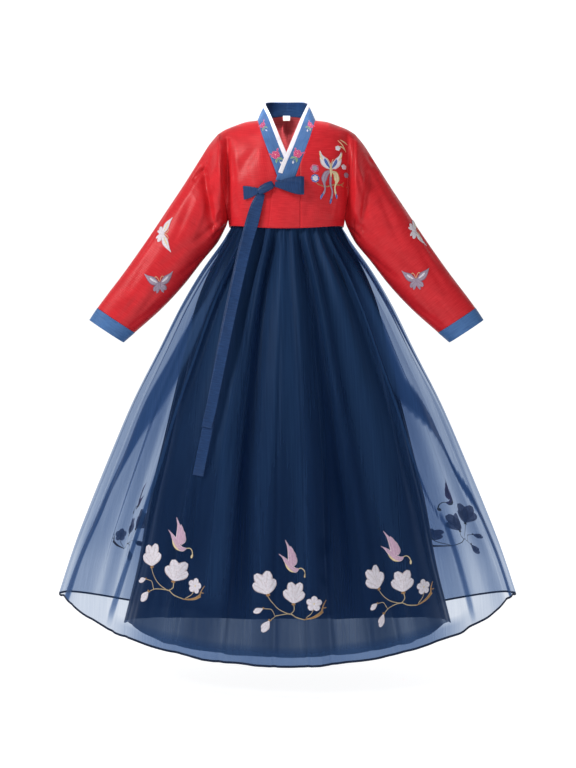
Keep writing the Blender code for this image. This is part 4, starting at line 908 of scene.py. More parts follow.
def sleeve_point(turn, along, extra=1.0):
    """Points on the wearer's left sleeve at turns, in degrees, and shares of its length."""
    turn, along = np.broadcast_arrays(np.asarray(turn, float), np.asarray(along, float))
    value = {c: curve(SLEEVE["along"], SLEEVE[c], along) for c in SLEEVE if c != "along"}
    outer, inner = (np.stack((value[edge + "_x"], 0.0 * along, value[edge + "_z"]), axis=-1)
                    for edge in ("outer", "inner"))
    centre, half = (outer + inner) / 2.0, (outer - inner) / 2.0
    reach = np.linalg.norm(half, axis=-1)
    angle = np.radians(turn)
    depth = np.where(turn % 360.0 <= 180.0, value["front"], value["back"])
    out = half * (np.cos(angle) * depth / reach)[..., None]
    out = out - BACKWARD * (np.sin(angle) * reach)[..., None]
    out /= np.linalg.norm(out, axis=-1, keepdims=True)
    draw = sleeve_fold(turn, along, SLEEVE_FOLDS) + extra * sleeve_fold(turn, along, SLEEVE_CREASES)
    points = centre + half * np.cos(angle)[..., None] - BACKWARD * (depth * np.sin(angle))[..., None]
    return points - out * draw[..., None]


print("armhole at the shoulder:", np.round(sleeve_point(0.0, 0.0), 3))

# %% Sleeves and cuffs
CUFF_PROUD = 0.0005
around = np.linspace(0.0, 360.0, 150)[None]
sleeve_points = sleeve_point(around, np.linspace(CUFF_SEAM, 0.0, 170)[:, None])
cuff_points = sleeve_point(around, np.linspace(1.0, CUFF_SEAM, 22)[:, None])
cuff_points = cuff_points - outward(cuff_points) * CUFF_PROUD
sleeves, cuffs = {}, {}
for side in ("left", "right"):
    sleeve_grid, cuff_grid = (pressed(mirrored(grid) if side == "right" else grid[:, ::-1])
                              for grid in (sleeve_points, cuff_points))
    sleeves[side] = cloth("satin_sleeve_" + side, sleeve_grid, RED_SATIN, JACKET_CLOTH,
                          closed=True, inside=ROSE_LINING)
    cuffs[side] = cloth("blue_cuff_" + side, cuff_grid, BLUE_SATIN, JACKET_CLOTH,
                        closed=True, inside=NAVY_SATIN)
    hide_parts("sleeve_" + side)
    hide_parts("cuff_" + side)
print("sleeve:", round(area(sleeve_points), 4), "cuff:", round(area(cuff_points), 4), "square metres")

# %% [markdown]
# ## The skirt's form
#
# The skirt is a bell: a table gives its outline in side, front and back view at 12 rows from the chest
# band to the hem. Folds draw the cloth in towards the body. The big ones are the same as in the
# solids, and a hundred small gathers start at the band and fade at different heights.

# %% Folds of the skirt
GATHERS = 118
rng = np.random.default_rng(11)
gather_turn = np.linspace(-180.0, 180.0, GATHERS, endpoint=False) + rng.uniform(-1.1, 1.1, GATHERS)
gather_width = rng.uniform(0.55, 1.0, GATHERS)
gather_depth = rng.uniform(0.0008, 0.0019, GATHERS)
gather_reach = rng.uniform(1.6, 7.5, GATHERS) ** 1.15
gather_drift = rng.uniform(-2.6, 2.6, GATHERS)
SOFT_FOLDS = 46
soft_turn = np.linspace(-180.0, 180.0, SOFT_FOLDS, endpoint=False) + rng.uniform(-3.4, 3.4, SOFT_FOLDS)
soft_width = rng.uniform(1.4, 3.2, SOFT_FOLDS)
soft_depth = rng.uniform(0.0010, 0.0046, SOFT_FOLDS) * np.where(rng.random(SOFT_FOLDS) < 0.35, -0.7, 1.0)
soft_top = rng.uniform(1.0, 6.5, SOFT_FOLDS)
soft_drift = rng.uniform(-3.5, 3.5, SOFT_FOLDS)
CRISP_FOLDS = 34
# turn and width in degrees and depth of the crisp folds in front; the rest are left to chance
FRONT_CRISP = {
    "organza": ((-20.0, 0.9, -0.003), (-15.8, 0.9, 0.005), (-7.2, 1.0, -0.003), (-3.0, 0.6, 0.005),
                (1.0, 1.6, -0.003), (4.6, 0.5, 0.004), (7.4, 0.8, -0.003), (10.0, 0.7, 0.0045)),
    "lining": ((-29.5, 1.6, -0.0045), (-23.0, 1.7, 0.008), (-10.5, 2.0, -0.005), (-4.4, 1.1, 0.008),
               (1.4, 2.2, -0.005), (6.6, 0.8, 0.0055), (10.6, 1.5, -0.0045), (14.4, 1.1, 0.007))}
crisp = {}
for layer, front in FRONT_CRISP.items():
    rows = [(turn, width, depth, 4.0) for turn, width, depth in front]
    for turn in np.linspace(22.0, 330.0, CRISP_FOLDS):
        rows.append((turn + rng.uniform(-3.0, 3.0), rng.uniform(0.7, 1.8), rng.uniform(-0.0040, 0.0060),
                     rng.uniform(3.0, 8.0)))
    crisp[layer] = np.array(rows)


def apart(turn, middle):
    """Turns from a middle, between -180 and 180."""
    return (turn - middle + 180.0) % 360.0 - 180.0


def zone(turn, row, middle, width, start, rows, share):
    """Share of something near a turn to either side of the front, from a row down."""
    return share * bump(np.abs(apart(turn, 0.0)) - middle, width) * ease((row - start) / rows)


# where something changes to both sides of the front: turn and width in degrees, the row where it starts,
# how many rows it takes to come in, and its share or size
UPRIGHT_SIDES = (90.0, 10.0, 7.0, 2.5, 1.0)      # no folds lean over at the sides
CALM_SIDES = (90.0, 13.0, 4.5, 3.5, 0.85)        # and they are shallow there
CALM_CORNERS = (64.0, 15.0, 8.5, 2.0, 0.60)      # as they are above the corners of the hem
RISEN_CORNERS = (68.0, 12.0, 9.0, 2.0, 0.0165)   # which curve up
SIDE_DRAW, HEM_DROP = 0.0036, 0.0068
LEAN_FADE, LEAN_TURN = 0.75, 66.0                # folds in front straighten towards the hem


def big_folds(turn, row, share_low):
    """Draw of the skirt's main folds, and how far in degrees they lean over, as knife pleats do."""
    draw, lean = np.zeros(np.broadcast(turn, row).shape), np.zeros(np.broadcast(turn, row).shape)
    down = np.clip((row - FOLD_MIDDLE_ROW) / (LAST_ROW - FOLD_MIDDLE_ROW), 0.0, 1.0)
    deeper = blend(1.0, FOLD_DEEPER, ease(row / 2.5) * blend(1.0, HEM_DEEPER, ease((row - 8.0) / 3.0)))
    for middle, width, top, centre, hem, drift, over in SKIRT_FOLDS:
        depth = np.where(row < FOLD_MIDDLE_ROW, blend(top, centre, ease(row / FOLD_MIDDLE_ROW)),
                         blend(centre, hem, down))
        depth = depth * deeper * blend(1.0, share_low, ease((row - 2.0) / 3.0))
        wide = width * blend(0.8, 1.15, row / LAST_ROW)
        shape = bump(apart(turn, middle + drift * row / LAST_ROW), wide)
        draw += depth * shape
        lean += over * width * ease(row / 6.0) * shape
    ahead = ease((LEAN_TURN - np.abs(apart(turn, 0.0))) / 12.0)
    return draw, lean * (1.0 - LEAN_FADE * ease((row - 7.0) / 2.5) * ahead)


def small_folds(turn, row, share_low, layer):
    """Draw of the gathers at the band, and of the soft and the crisp folds below them."""
    total = np.zeros(np.broadcast(turn, row).shape)
    down = row / LAST_ROW
    gathers = zip(gather_turn, gather_width, gather_depth, gather_reach, gather_drift)
    for middle, width, depth, reach, drift in gathers:
        share = np.clip(1.0 - row / reach, 0.0, 1.0)
        shape = bump(apart(turn, middle + drift * down), width * (1.0 + 0.25 * row))
        total += depth * (1.0 + 0.35 * row) * ease(share * 1.6) * shape
    for middle, width, depth, top, drift in zip(soft_turn, soft_width, soft_depth, soft_top, soft_drift):
        shape = bump(apart(turn, middle + drift * down), width)
        total += depth * ease((row - top) / 2.5) * share_low * shape
    for middle, width, depth, top in crisp[layer]:
        total += depth * ease((row - top) / 3.5) * bump(apart(turn, middle), width)
    return total


def skirt_point(outline, row, turn, share_low, inset=0.0):
    """Points of a skirt layer."""
    row, turn = np.broadcast_arrays(np.asarray(row, float), np.asarray(turn, float))
    value = {c: curve(range(len(outline["side_z"])), outline[c], row) for c in outline}
    draw, lean = big_folds(turn, row, share_low)
    angle = np.radians(turn + lean * (1.0 - zone(turn, row, *UPRIGHT_SIDES)))
    side, front = np.sin(angle), np.cos(angle)
    depth = np.where(front >= 0.0, value["front_depth"], value["back_depth"])
    z = blend(value["side_z"], np.where(front >= 0.0, value["front_z"], value["back_z"]), front * front)
    width = value["half_width"]
    out = np.stack((side / width, -front / depth, 0.0 * side), axis=-1)
    out /= np.linalg.norm(out, axis=-1, keepdims=True)
    draw = draw + small_folds(turn, row, share_low, "organza" if outline is ORGANZA else "lining")
    for place in (CALM_SIDES, CALM_CORNERS):
        draw = blend(draw, SIDE_DRAW, zone(turn, row, *place))
    z = z - HEM_DROP * np.clip(front, 0.0, 1.0) * ease((row - 9.0) / 2.0)
    z = z + zone(turn, row, *RISEN_CORNERS)
    base = np.stack((value["centre_x"] + width * side, -depth * front, z), axis=-1)
    return base - out * (draw + inset)[..., None]


print("hem at the centre front:", np.round(skirt_point(ORGANZA, 11.0, 7.0, 1.0), 3))

# %% [markdown]
# ## Organza and lining panels
#
# Three panels of organza are seamed together and two of lining, then both are gathered into the band.
# The organza's grid is fine enough for folds 4 mm wide. How much cloth is bunched is measured on the
# finished grid: the length across it against the mean of that length round about. The organza also has
# a few pleats folded three times at the sides. In front it gets painted highlights and painted shade,
# bands of denser or thinner thread that stand for soft folds, and painted light on its upper front.

# %% Skirt layers
# Where the organza lies folded three times: heights, turns and half widths in degrees there, and how
# dense it is.
PLEATS = (((-1.2, -1.09, -0.966, -0.82, -0.715, -0.46), (-68.4, -67.5, -65.8, -61.9, -59.5, -52.0),
           (1.6, 1.2, 1.4, 2.4, 3.8, 2.8), 4.6),
          ((-1.22, -1.09, -0.966, -0.86), (-48.7, -46.4, -45.1, -43.5), (1.2, 1.2, 1.2, 1.0), 3.0),
          ((-1.19, -1.02, -0.87, -0.815, -0.745, -0.663), (70.7, 71.3, 64.7, 62.6, 57.7, 52.6),
           (1.3, 1.4, 1.7, 2.0, 3.0, 3.4), 4.6),
          ((-1.01, -0.93, -0.815, -0.7), (52.4, 45.6, 43.5, 43.2), (0.8, 0.8, 0.9, 0.9), 2.4),
          ((-1.22, -0.9, -0.46), (142.0, 138.0, 132.0), (2.4, 1.8, 4.0), 1.6),
          ((-1.22, -0.9, -0.46), (-141.0, -138.0, -130.0), (1.8, 2.2, 4.4), 1.9),
          ((-1.22, -0.9, -0.46), (186.0, 183.0, 181.0), (1.6, 2.0, 3.0), 1.2))
# Painted highlights and painted shade in front: bands of soft folds, drawn by making the organza's
# thread denser or thinner, written alike.
PAINTED_FOLD_LIGHT_AND_SHADE = (((-1.2, -0.99, -0.75, -0.46), (-18.1, -18.8, -24.4, -31.1), (4.0, 4.0, 5.5, 4.5), 2.0),
               ((-1.2, -0.99, -0.75, -0.46), (-13.2, -12.6, -10.8, -12.5), (2.4, 2.4, 2.8, 3.4),
                -1.9),
               ((-1.2, -0.99, -0.75, -0.46), (-6.5, -6.5, -4.8, -4.4), (1.5, 1.6, 1.8, 1.4), 1.0),
               ((-1.2, -0.99, -0.75, -0.46), (3.1, 3.6, 1.8, -1.3), (2.4, 2.6, 2.8, 2.4), 1.7),
               ((-1.2, -0.99, -0.75, -0.46), (11.4, 12.8, 11.9, 13.0), (4.0, 4.2, 3.6, 3.8), -1.8),
               ((-1.2, -0.99, -0.75, -0.46), (31.9, 30.6, 32.8, 34.1), (4.0, 4.5, 4.5, 5.0), 1.2),
               ((-1.2, -0.99, -0.75, -0.46), (-31.0, -32.0, -35.0, -42.0), (3.0, 3.0, 3.0, 3.5),
                -0.4),
               ((-1.2, -0.75, -0.46), (21.5, 22.3, 24.0), (1.6, 1.6, 2.2), 0.45))
# How much denser the organza is made in front towards the waist, partly for its gathering and partly as
# painted light that lightens its upper front; and how much denser, and so darker, a strip in front just
# below the lining is.
WAIST_GATHER_AND_PAINTED_LIGHT, FRONT_TURN = 3.2, 50.0
HEM_SHARE, HEM_TURN, HEM_ROW = 2.2, 42.0, 10.70
FOLD_WINDOW = 61               # columns over which the mean is taken


def skirt_grid(outline, seams, columns, rows, share_low):
    """Panel of a layer, from the hem up, and its bunching; on the organza also painted light and shade
    in front.
    """
    row = LAST_ROW * np.linspace(1.0, 0.0, rows)[:, None] ** 1.25
    turn = np.linspace(seams[0] + 0.02, seams[1] - 0.02, columns)[None]
    points = skirt_point(outline, row, turn, share_low)
    there = np.linalg.norm(np.gradient(points, axis=1), axis=2)
    window = np.ones(FOLD_WINDOW) / FOLD_WINDOW
    wider = np.pad(there, ((0, 0), (FOLD_WINDOW // 2, FOLD_WINDOW // 2)), mode="edge")
    even = np.array([np.convolve(line, window, mode="valid") for line in wider])
    density_and_painted_light = np.clip(there / even, 0.75, 2.4)
    if outline is LINING:
        return points, density_and_painted_light
    up = points[..., 2]
    for heights, turns, halves, times in PLEATS:
        away = apart(turn, curve(heights, turns, up)) / curve(heights, halves, up)
        density_and_painted_light = density_and_painted_light + times * bump(away, 1.0, 6) * ease((-0.34 - up) / 0.15) * ease((up + 1.26) / 0.06)
    # Painted light besides gathering: the front is made denser towards the waist, so its upper part
    # shows lighter.
    waist = WAIST_GATHER_AND_PAINTED_LIGHT * (1.0 - ease((row - 2.0) / 9.0))
    density_and_painted_light = density_and_painted_light + bump(apart(turn, 0.0), FRONT_TURN, 6) * waist
    # Painted highlights and painted shade: bands in front where the thread is made denser or thinner.
    for heights, turns, halves, times in PAINTED_FOLD_LIGHT_AND_SHADE:
        away = apart(turn, curve(heights, turns, up)) / curve(heights, halves, up)
        above_hem = 1.0 - ease((row - 9.9) / 0.5)
        density_and_painted_light = density_and_painted_light + times * bump(away, 1.0) * ease((-0.27 - up) / 0.08) * above_hem
    density_and_painted_light = np.maximum(density_and_painted_light, 0.25) * blend(1.0, 0.80, ease((row - 9.6) / 0.8))
    # A strip in front just below the lining is made denser, and so darker.
    return points, density_and_painted_light + HEM_SHARE * ease((row - HEM_ROW) / 0.10) * bump(apart(turn, 2.0), HEM_TURN, 6)


skirt = {}
# first word of the name, outline, panels, cloth, slot, columns in a degree, rows, fold share and length
for word, outline, panels, material, slot, fine, rows, share_low, length in (
        ("sheer_", ORGANZA, ORGANZA_SEAMS, ORGANZA_NAVY, "organza", 2.5, 92, 1.0, 1.06),
        ("silk_", LINING, LINING_SEAMS, LINING_NAVY, "lining", 2.0, 80, LINING_FOLD_SHARE, 1.08)):
    for name, seams in panels.items():
        points, gather_and_painted_light = skirt_grid(outline, seams, int((seams[1] - seams[0]) * fine), rows, share_low)
        skirt[name] = cloth(word + name, points, material, gather_and_painted_light=gather_and_painted_light)
        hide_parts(name)

# %% [markdown]
# ## Rolled hem and chest band
#
# The organza's edge is rolled twice and sewn, which makes a narrow dark cord of cloth. The band is a
# doubled strip of navy satin round the chest, hidden by the jacket.

# %% Hem and band
BAND_WALL = 0.0022
turn = np.linspace(-180.0, 180.0, 900)[None]
hem_top = skirt_point(ORGANZA, LAST_ROW, turn, 1.0, -0.0003)
drop = np.array((0.0, 0.0, -HEM_ROLL_HEIGHT)) * np.array((1.0, 0.5, 0.0))[:, None, None]
rolled_hem = cloth("rolled_hem", hem_top + drop, HEM_NAVY, HEM_ROLL, closed=True)
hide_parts("organza_hem")

angle = np.radians(np.linspace(-180.0, 180.0, 241))[None]
share = np.linspace(0.0, 1.0, 12)[:, None]
scale = blend(1.0, BAND_TOP_SHARE, share)
band_depth = np.where(np.cos(angle) >= 0.0, ORGANZA["front_depth"][0], ORGANZA["back_depth"][0]) * scale
band_points = np.stack(np.broadcast_arrays(
    ORGANZA["half_width"][0] * scale * np.sin(angle), -band_depth * np.cos(angle),
    blend(ORGANZA["side_z"][0], BAND_TOP_Z, share)), axis=-1)
chest_band = cloth("chest_band", band_points, NAVY_SATIN, BAND_WALL, closed=True)
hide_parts("skirt_band")

# %% [markdown]
# ## The ribbon tie
#
# One ribbon is sewn to each front. They cross in half a bow: a single loop, a short end and two long
# tails that hang to the knee. The tails are laid on the jacket and on the crests of the skirt, found
# by looking back along a line for the foremost cloth.

# %% Tails and short end of the ribbon
RIBBON_CLOTH = 0.0010
BOW_CLOTH = 0.0008
TAIL_RIPPLE, RIPPLE_TURNS = 0.0012, 9.0
front_trees = [tree_of(piece) for piece in (front_left, front_right, gusset, collar_band, edging)]
skirt_trees = [tree_of(skirt[name]) for name in ORGANZA_SEAMS]


def foremost(trees, x, z):
    """The foremost cloth at x and z, as a y value."""
    hit = first_hit(trees, (x, -1.0, z), BACKWARD)
    return hit[0].y if hit else math.nan


def ribbon_grid(path, trees, lift, steps, ripple=0.0, columns=13):
    """A hanging stretch of ribbon along its path in the front view, from its lower end up."""
    at = np.linspace(1.0, 0.0, steps)
    places = np.linspace(0.0, 1.0, len(path["x"]))
    x, z, half = (curve(places, path[c], at) for c in ("x", "z", "half_width"))
    run = np.stack((np.gradient(x), np.gradient(z)), axis=1)
    run /= np.linalg.norm(run, axis=1, keepdims=True)
    side = np.stack((run[:, 1], -run[:, 0]), axis=1)
    side *= np.sign(side[:, :1])
    across = np.linspace(-1.0, 1.0, columns)
    grid_x, grid_z = (np.outer(half * side[:, i], across) + line[:, None]
                      for i, line in ((0, x), (1, z)))
    behind = [np.nanmin([foremost(trees, a, b) for a, b in zip(*pair)]) for pair in zip(grid_x, grid_z)]
    reach = max(2, steps // 26)
    spread = np.array([np.nanmin(behind[max(0, i - reach):i + reach + 1]) for i in range(steps)])
    window = np.ones(2 * reach + 1) / (2 * reach + 1)
    smooth = np.convolve(np.pad(spread, reach, mode="edge"), window, mode="valid")
    y = np.minimum(smooth, spread)[:, None] - lift - RIBBON_CLOTH
    curl = ripple * np.sin(at * RIPPLE_TURNS)[:, None] * across ** 2 * (half / half.max())[:, None]
    return np.stack((grid_x, np.broadcast_to(y, grid_x.shape) - np.abs(curl), grid_z), axis=2)


tails, tail_trees = {}, front_trees + skirt_trees
for name, path, lift, steps in (("long", TAIL_LONG, 0.0010, 150), ("short", TAIL_SHORT, 0.0012, 130)):
    grid = ribbon_grid(path, tail_trees, lift, steps, TAIL_RIPPLE)
    tails[name] = cloth("ribbon_" + name, grid, NAVY_SATIN, RIBBON_CLOTH)
    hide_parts("ribbon_tail_" + name)
    tail_trees.append(tree_of(tails[name]))
    print("tail", name, round(area(grid), 4), "square metres")
end_grid = ribbon_grid(SHORT_END, [*front_trees, *tail_trees[-2:]], 0.0006, 24)
short_end = cloth("ribbon_end", end_grid, NAVY_SATIN, RIBBON_CLOTH)
print("short end area", round(area(end_grid), 5))

# %% Knot and loop of the bow
knot_box, loop_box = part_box("bow_knot"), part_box("bow_loop")
WRINKLES = ((0.07, 1.9, -1.1, 0.30), (0.06, 4.4, 0.9, 0.26))      # depth, turn, drift and width
BEND_SHARE = 0.10              # the last share of the loop, where the ribbon turns over


def knot_grid(steps=40, around=41):
    """Wrap of the knot: a short rounded roll that rises towards the wearer's left."""
    at, places = np.linspace(0.0, 1.0, steps), np.linspace(0.0, 1.0, len(KNOT["x"]))
    x, z, high, deep = (curve(places, KNOT[c], at) for c in ("x", "z", "half_height", "half_depth"))
    run = np.stack((np.gradient(x), 0.0 * x, np.gradient(z)), axis=1)
    run /= np.linalg.norm(run, axis=1, keepdims=True)
    up = np.stack((-run[:, 2], 0.0 * x, run[:, 0]), axis=1)
    turn = np.linspace(0.0, 2.0 * math.pi, around)
    wrinkle = 1.0
    for depth, start, drift, width in WRINKLES:
        away = (turn[None] - start + drift * at[:, None]) % (2.0 * math.pi)
        wrinkle = wrinkle - depth * bump(away, width)
    middle = (knot_box[0][1] + knot_box[1][1]) / 2.0
    centre = np.stack((x, np.full_like(x, middle), z), axis=1)[:, None]
    ring = up[:, None] * (high[:, None] * np.cos(turn) * wrinkle)[..., None]
    return centre + ring + BACKWARD * (deep[:, None] * np.sin(turn) * wrinkle)[..., None]


def loop_grid(steps=44, columns=17):
    """Bow loop: the ribbon runs out behind, turns over at the far end and comes back in front."""
    middle = (loop_box[0][1] + loop_box[1][1]) / 2.0
    half_turn = np.linspace(-1.0, 1.0, 2 * steps)
    s = 1.0 - np.abs(half_turn) ** 1.6
    bulge, half = (curve(LOOP["along"], LOOP[c], s) for c in ("bulge", "half_width"))
    face = -np.sign(half_turn)
    bend = np.sqrt(np.clip((1.0 - s) / BEND_SHARE, 0.0, 1.0))
    y = middle + face * (bulge * bend + RIBBON_CLOTH)
    across = np.linspace(-1.0, 1.0, columns)
    x = blend(LOOP_START[0], LOOP_END[0], s)[:, None] + 0.0 * across
    z = blend(LOOP_START[1], LOOP_END[1], s)[:, None] + half[:, None] * across
    hollow = 0.0022 * bump(across[None] - 0.42 + 0.5 * (s[:, None] - 0.6), 0.16)
    hollow = hollow * np.sin(math.pi * np.clip(s, 0.0, 0.98))[:, None]
    y = y[:, None] - face[:, None] * hollow * (face[:, None] < 0)
    return np.stack((x, y, z), axis=2)


knot_points, loop_points = knot_grid().transpose(1, 0, 2), loop_grid()
knot_wrap = cloth("wrap_of_bow", knot_points, NAVY_SATIN, BOW_CLOTH)
loop = cloth("loop_of_bow", loop_points, NAVY_SATIN, BOW_CLOTH)
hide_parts("bow_knot")
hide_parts("bow_loop")
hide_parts("bow_end")
print("knot", round(area(knot_points), 5), "loop", round(area(loop_points), 5), "square metres")

# %% [markdown]
# ## Embroidery
#
# The embroidery is satin stitch: threads laid side by side across each petal, wing or leaf, over a
# little padding, so that each shape stands up as a low dome. Every shape here is a spine with a width
# at each place along it, drawn flat in millimetres. It is then laid on the cloth by the same function
# that shaped the cloth, so it follows every fold.

# %% Thread
def thread(name, middle, edge):
    """Glossy embroidery thread: a middle colour, and another along the outline and the vein."""
    material, tree, out = new_material(name)
    uv = add(tree, "SeparateXYZ", {"Vector": add(tree, "UVMap", uv_map="stitch")})
    away = calc(tree, "ABSOLUTE", calc(tree, "SUBTRACT", uv.outputs["X"], 0.5))
    rim = remap(tree, away, (0.34, 0.44), (0.0, 1.0))
    vein = remap(tree, away, (0.09, 0.01), (0.0, 0.55))
    marks = calc(tree, "MAXIMUM", rim, vein)
    rows = calc(tree, "SINE", calc(tree, "MULTIPLY", uv.outputs["Y"], 2.0 * math.pi / STITCH_PITCH))
    place = add(tree, "TexCoord").outputs["Object"]
    uneven = add(tree, "TexNoise", {"Vector": place, "Scale": 260.0}).outputs["Fac"]
    tone = mixed_colour(tree, marks, middle, edge)
    shade = remap(tree, uneven, NOISE_RANGE, (0.84, 1.05))
    colour = add(tree, "VectorMath", {0: tone, "Scale": shade}, operation="SCALE")
    relief = add(tree, "Bump", {"Height": rows, "Strength": 0.35, "Distance": 0.0003})
    shader = add(tree, "BsdfPrincipled",
                 {"Base Color": colour, "Roughness": 0.42, "Specular IOR Level": 0.4, "Anisotropic": 0.5,
                  "Sheen Weight": 0.15, "Normal": relief})
    lit = add(tree, "BsdfTranslucent", {"Color": colour})
    mixed = add(tree, "MixShader", {"Fac": THREAD_GLOW, 1: shader, 2: lit})
    tree.links.new(mixed.outputs[0], out.inputs["Surface"])
    return material


THREAD_GLOW = 0.16             # the share of light that passes through it
STITCH_PITCH = 0.0011          # real threads lie 0.35 mm apart; drawn coarser so that they show
DYES = {"white": ("white", "#F6F1FB", "#DCCFD6"), "pink": ("orchid", "#D9B2CF", "#F6E4EC"),
        "cream": ("cream", "#F5E6BE", "#D9AE63"), "brown": ("golden brown", "#A8743F", "#E0C795"),
        "gold": ("pale gold", "#C9B186", "#D8C8A6"), "lilac": ("lilac grey", "#B8A6BC", "#86708C"),
        "rose": ("rose", "#E2447F", "#F6A9C4"), "green": ("leaf green", "#86AE7E", "#D2E0B6"),
        "blue": ("cornflower", "#2E5CC2", "#B9D0F2")}
THREADS = {key: thread("rayon thread, " + dye, *colours) for key, (dye, *colours) in DYES.items()}
print("threads:", len(THREADS))

# %% Shapes of satin stitch, in millimetres
PETAL = (2.0, 6.0, 9.0, 11.2, 12.4, 12.2, 10.0, 4.6)


def shape(colour, spine, widths, high=0.0):
    """One shape: its thread, its spine, its half widths and how high it lies over the others."""
    return colour, np.array(spine, float), np.array(widths, float), high


def drawn(*rows):
    """Shapes from rows of thread, spine, half widths and, if it isn't 0, height."""
    return [shape(*row) for row in rows]


def fan(colour, petals, high=0.0):
    """Petals that spread from one base: heading in degrees from straight up, length and width share."""
    shapes = []
    for i, (heading, length, share) in enumerate(petals):
        way = np.array((math.sin(math.radians(heading)), math.cos(math.radians(heading))))
        side = np.array((way[1], -way[0])) * math.copysign(0.10, heading) * length
        spine = [(0.0, 0.0), way * length * 0.5 - side * 0.5, way * length]
        shapes.append(shape(colour, spine, np.array(PETAL) * share, high + 0.12 * i))
    return shapes


def blossom(colour, petals, length, share, turned=0.0, high=0.0):
    """An open flower: petals all round."""
    return fan(colour, [(k * 360.0 / petals + turned, length, share) for k in range(petals)], high)


def moved(shapes, by=(0.0, 0.0), turned=0.0, scale=1.0, flip=False):
    """The same shapes turned anticlockwise, scaled, flipped left to right and moved."""
    c, d = math.cos(math.radians(turned)), math.sin(math.radians(turned))
    spin = np.array(((c, -d), (d, c))) @ np.diag((-1.0 if flip else 1.0, 1.0)) * scale
    return [(colour, spine @ spin.T + np.array(by), widths * scale, high)
            for colour, spine, widths, high in shapes]


calyx = fan("brown", [(150, 5, 0.16), (212, 5, 0.16), (180, 4, 0.20)], high=0.5)
magnolia = fan("white", [(-43, 31, 0.74), (40, 30, 0.72), (-17, 42, 0.80), (15, 43, 0.80),
                         (-2, 29, 0.62)]) + calyx
open_flower = blossom("white", 5, 14.5, 0.50, 10) + drawn(
    ("cream", [(-1.6, 0), (1.6, 0)], (0.8, 1.8, 0.8), 0.9))
bud = fan("white", [(-13, 19, 0.42), (13, 19, 0.42), (0, 24, 0.46)]) + moved(calyx, scale=0.8)
skirt_butterfly = drawn(
    ("pink", [(5, -2), (10, 7), (10, 17)], (2.4, 3.8, 3.4, 1.2)),
    ("pink", [(4, 6), (8, 16), (6, 27)], (2.4, 3.8, 3.3, 1.0), 0.1),
    ("pink", [(2, 14), (4, 26), (1, 37)], (2.0, 3.2, 2.6, 0.8), 0.18),
    ("pink", [(1, -5), (1, 14), (-2, 32), (-9, 50)], (3.4, 6.0, 5.6, 3.8, 1.9, 0.4), 0.25),
    ("pink", [(-2, -3), (-8, 7), (-14, 15), (-22, 22)], (2.6, 4.2, 4.0, 2.6, 1.2, 0.4), 0.35),
    ("cream", [(-11, 5), (-7, -4), (2, -12), (12, -14)], (0.5, 1.5, 2.4, 2.6, 1.4), 0.35),
    ("pink", [(-5, 0), (2, -7), (9, -11), (16, -9)], (1.4, 4.2, 5.2, 4.6, 1.4), 0.55),
    ("cream", [(14, -9), (21, -8), (27, -13), (29, -20)], (0.7, 0.9, 0.9, 0.8), 0.4),
    ("cream", [(29, -19), (27, -27)], (0.8, 2.1, 2.3, 1.0), 0.5))
branch = drawn(
    ("brown", [(57, 24), (51, 13), (49, 4)], (0.5, 0.9, 1.6)),
    ("brown", [(52, 12), (57, 12)], (0.9, 0.7, 0.4)),
    ("brown", [(51, 7), (40, 0), (27, -4), (20, -5)], (2.2, 2.0, 1.2, 0.7), 0.1),
    ("gold", [(21, -5), (8, -1), (-2, 5), (-20, 2), (-33, -7)], (0.7, 0.7, 0.65, 0.55, 0.5)),
    ("gold", [(-2, 4), (-17, 11), (-29, 22), (-38, 36)], (0.65, 0.6, 0.55, 0.5)),
    ("gold", [(-1, 4), (5, 12), (4, 22)], (0.65, 0.6, 0.55)),
    ("gold", [(24, -3), (34, 6), (38, 14)], (0.55, 0.5, 0.5)),
    ("gold", [(-24, 0), (-32, 12), (-44, 12)], (0.5, 0.5, 0.45)))
spray = (branch + moved(magnolia, (-36, 36), 16.0, 0.86) + moved(magnolia, (4, 22), -8.0, 0.80)
         + moved(open_flower, (38, 20), 0.0, 0.84) + moved(bud, (-43, 12), 118.0, 0.62)
         + moved(bud, (-33, -7), 150.0, 0.85) + moved(skirt_butterfly, (0, 84), 2.0, 0.84))
half_wings = drawn(
    ("lilac", [(1.5, 2), (13, 8), (24, 16), (33, 25)], (2.0, 6.4, 8.0, 6.0, 2.8, 0.4)),
    ("white", [(3, 4), (14, 10), (25, 18)], (0.8, 2.4, 2.8, 0.6), 0.25),
    ("lilac", [(1.5, 0), (9, -5), (15, -11)], (1.6, 5.0, 5.6, 2.0), 0.1),
    ("lilac", [(1, -2), (5, -10), (8, -17)], (1.4, 3.6, 3.4, 1.0), 0.15),
    ("cream", [(0.5, 6), (3, 13), (8, 17), (11, 14)], (0.5, 0.6, 0.6, 0.5), 0.2))
butterfly = half_wings + moved(half_wings, flip=True) + drawn(
    ("lilac", [(0, 7), (0, -9)], (0.9, 2.0, 1.8, 0.8), 0.5))
PALER = {"lilac": "white", "white": "cream"}
white_butterfly = [(PALER.get(colour, colour), *rest) for colour, *rest in butterfly]
collar_sprig = blossom("rose", 5, 7.5, 0.30) + drawn(
    ("cream", [(-0.8, 0), (0.8, 0)], (0.4, 1.1, 0.4), 0.8),
    ("green", [(0, -3), (1, -9), (-1, -15)], (0.5, 0.6, 0.5)),
    ("green", [(0, -7), (4, -10), (6, -15)], (0.4, 1.8, 0.4)),
    ("green", [(0, -8), (-4, -10), (-6, -14)], (0.4, 1.8, 0.4)),
    ("white", [(0, -15), (2, -20)], (0.5, 1.8, 0.6)),
    ("rose", [(6, 5), (10, 9)], (0.6, 1.8, 0.5)), ("rose", [(-6, 4), (-9, 8)], (0.6, 1.7, 0.5)))
print("shapes in one spray of the hem:", len(spray))

# %% Laying stitches on the cloth
patches = {}
SPINE_STEP = 2.2               # millimetres between rows of points
SLOPE_STEP = 0.8               # millimetres between the points that give the slope of the cloth
LAYER = 0.0008                 # height of one layer of thread over another
PADDED = 2.5                   # half width in millimetres from which a shape has all of its padding


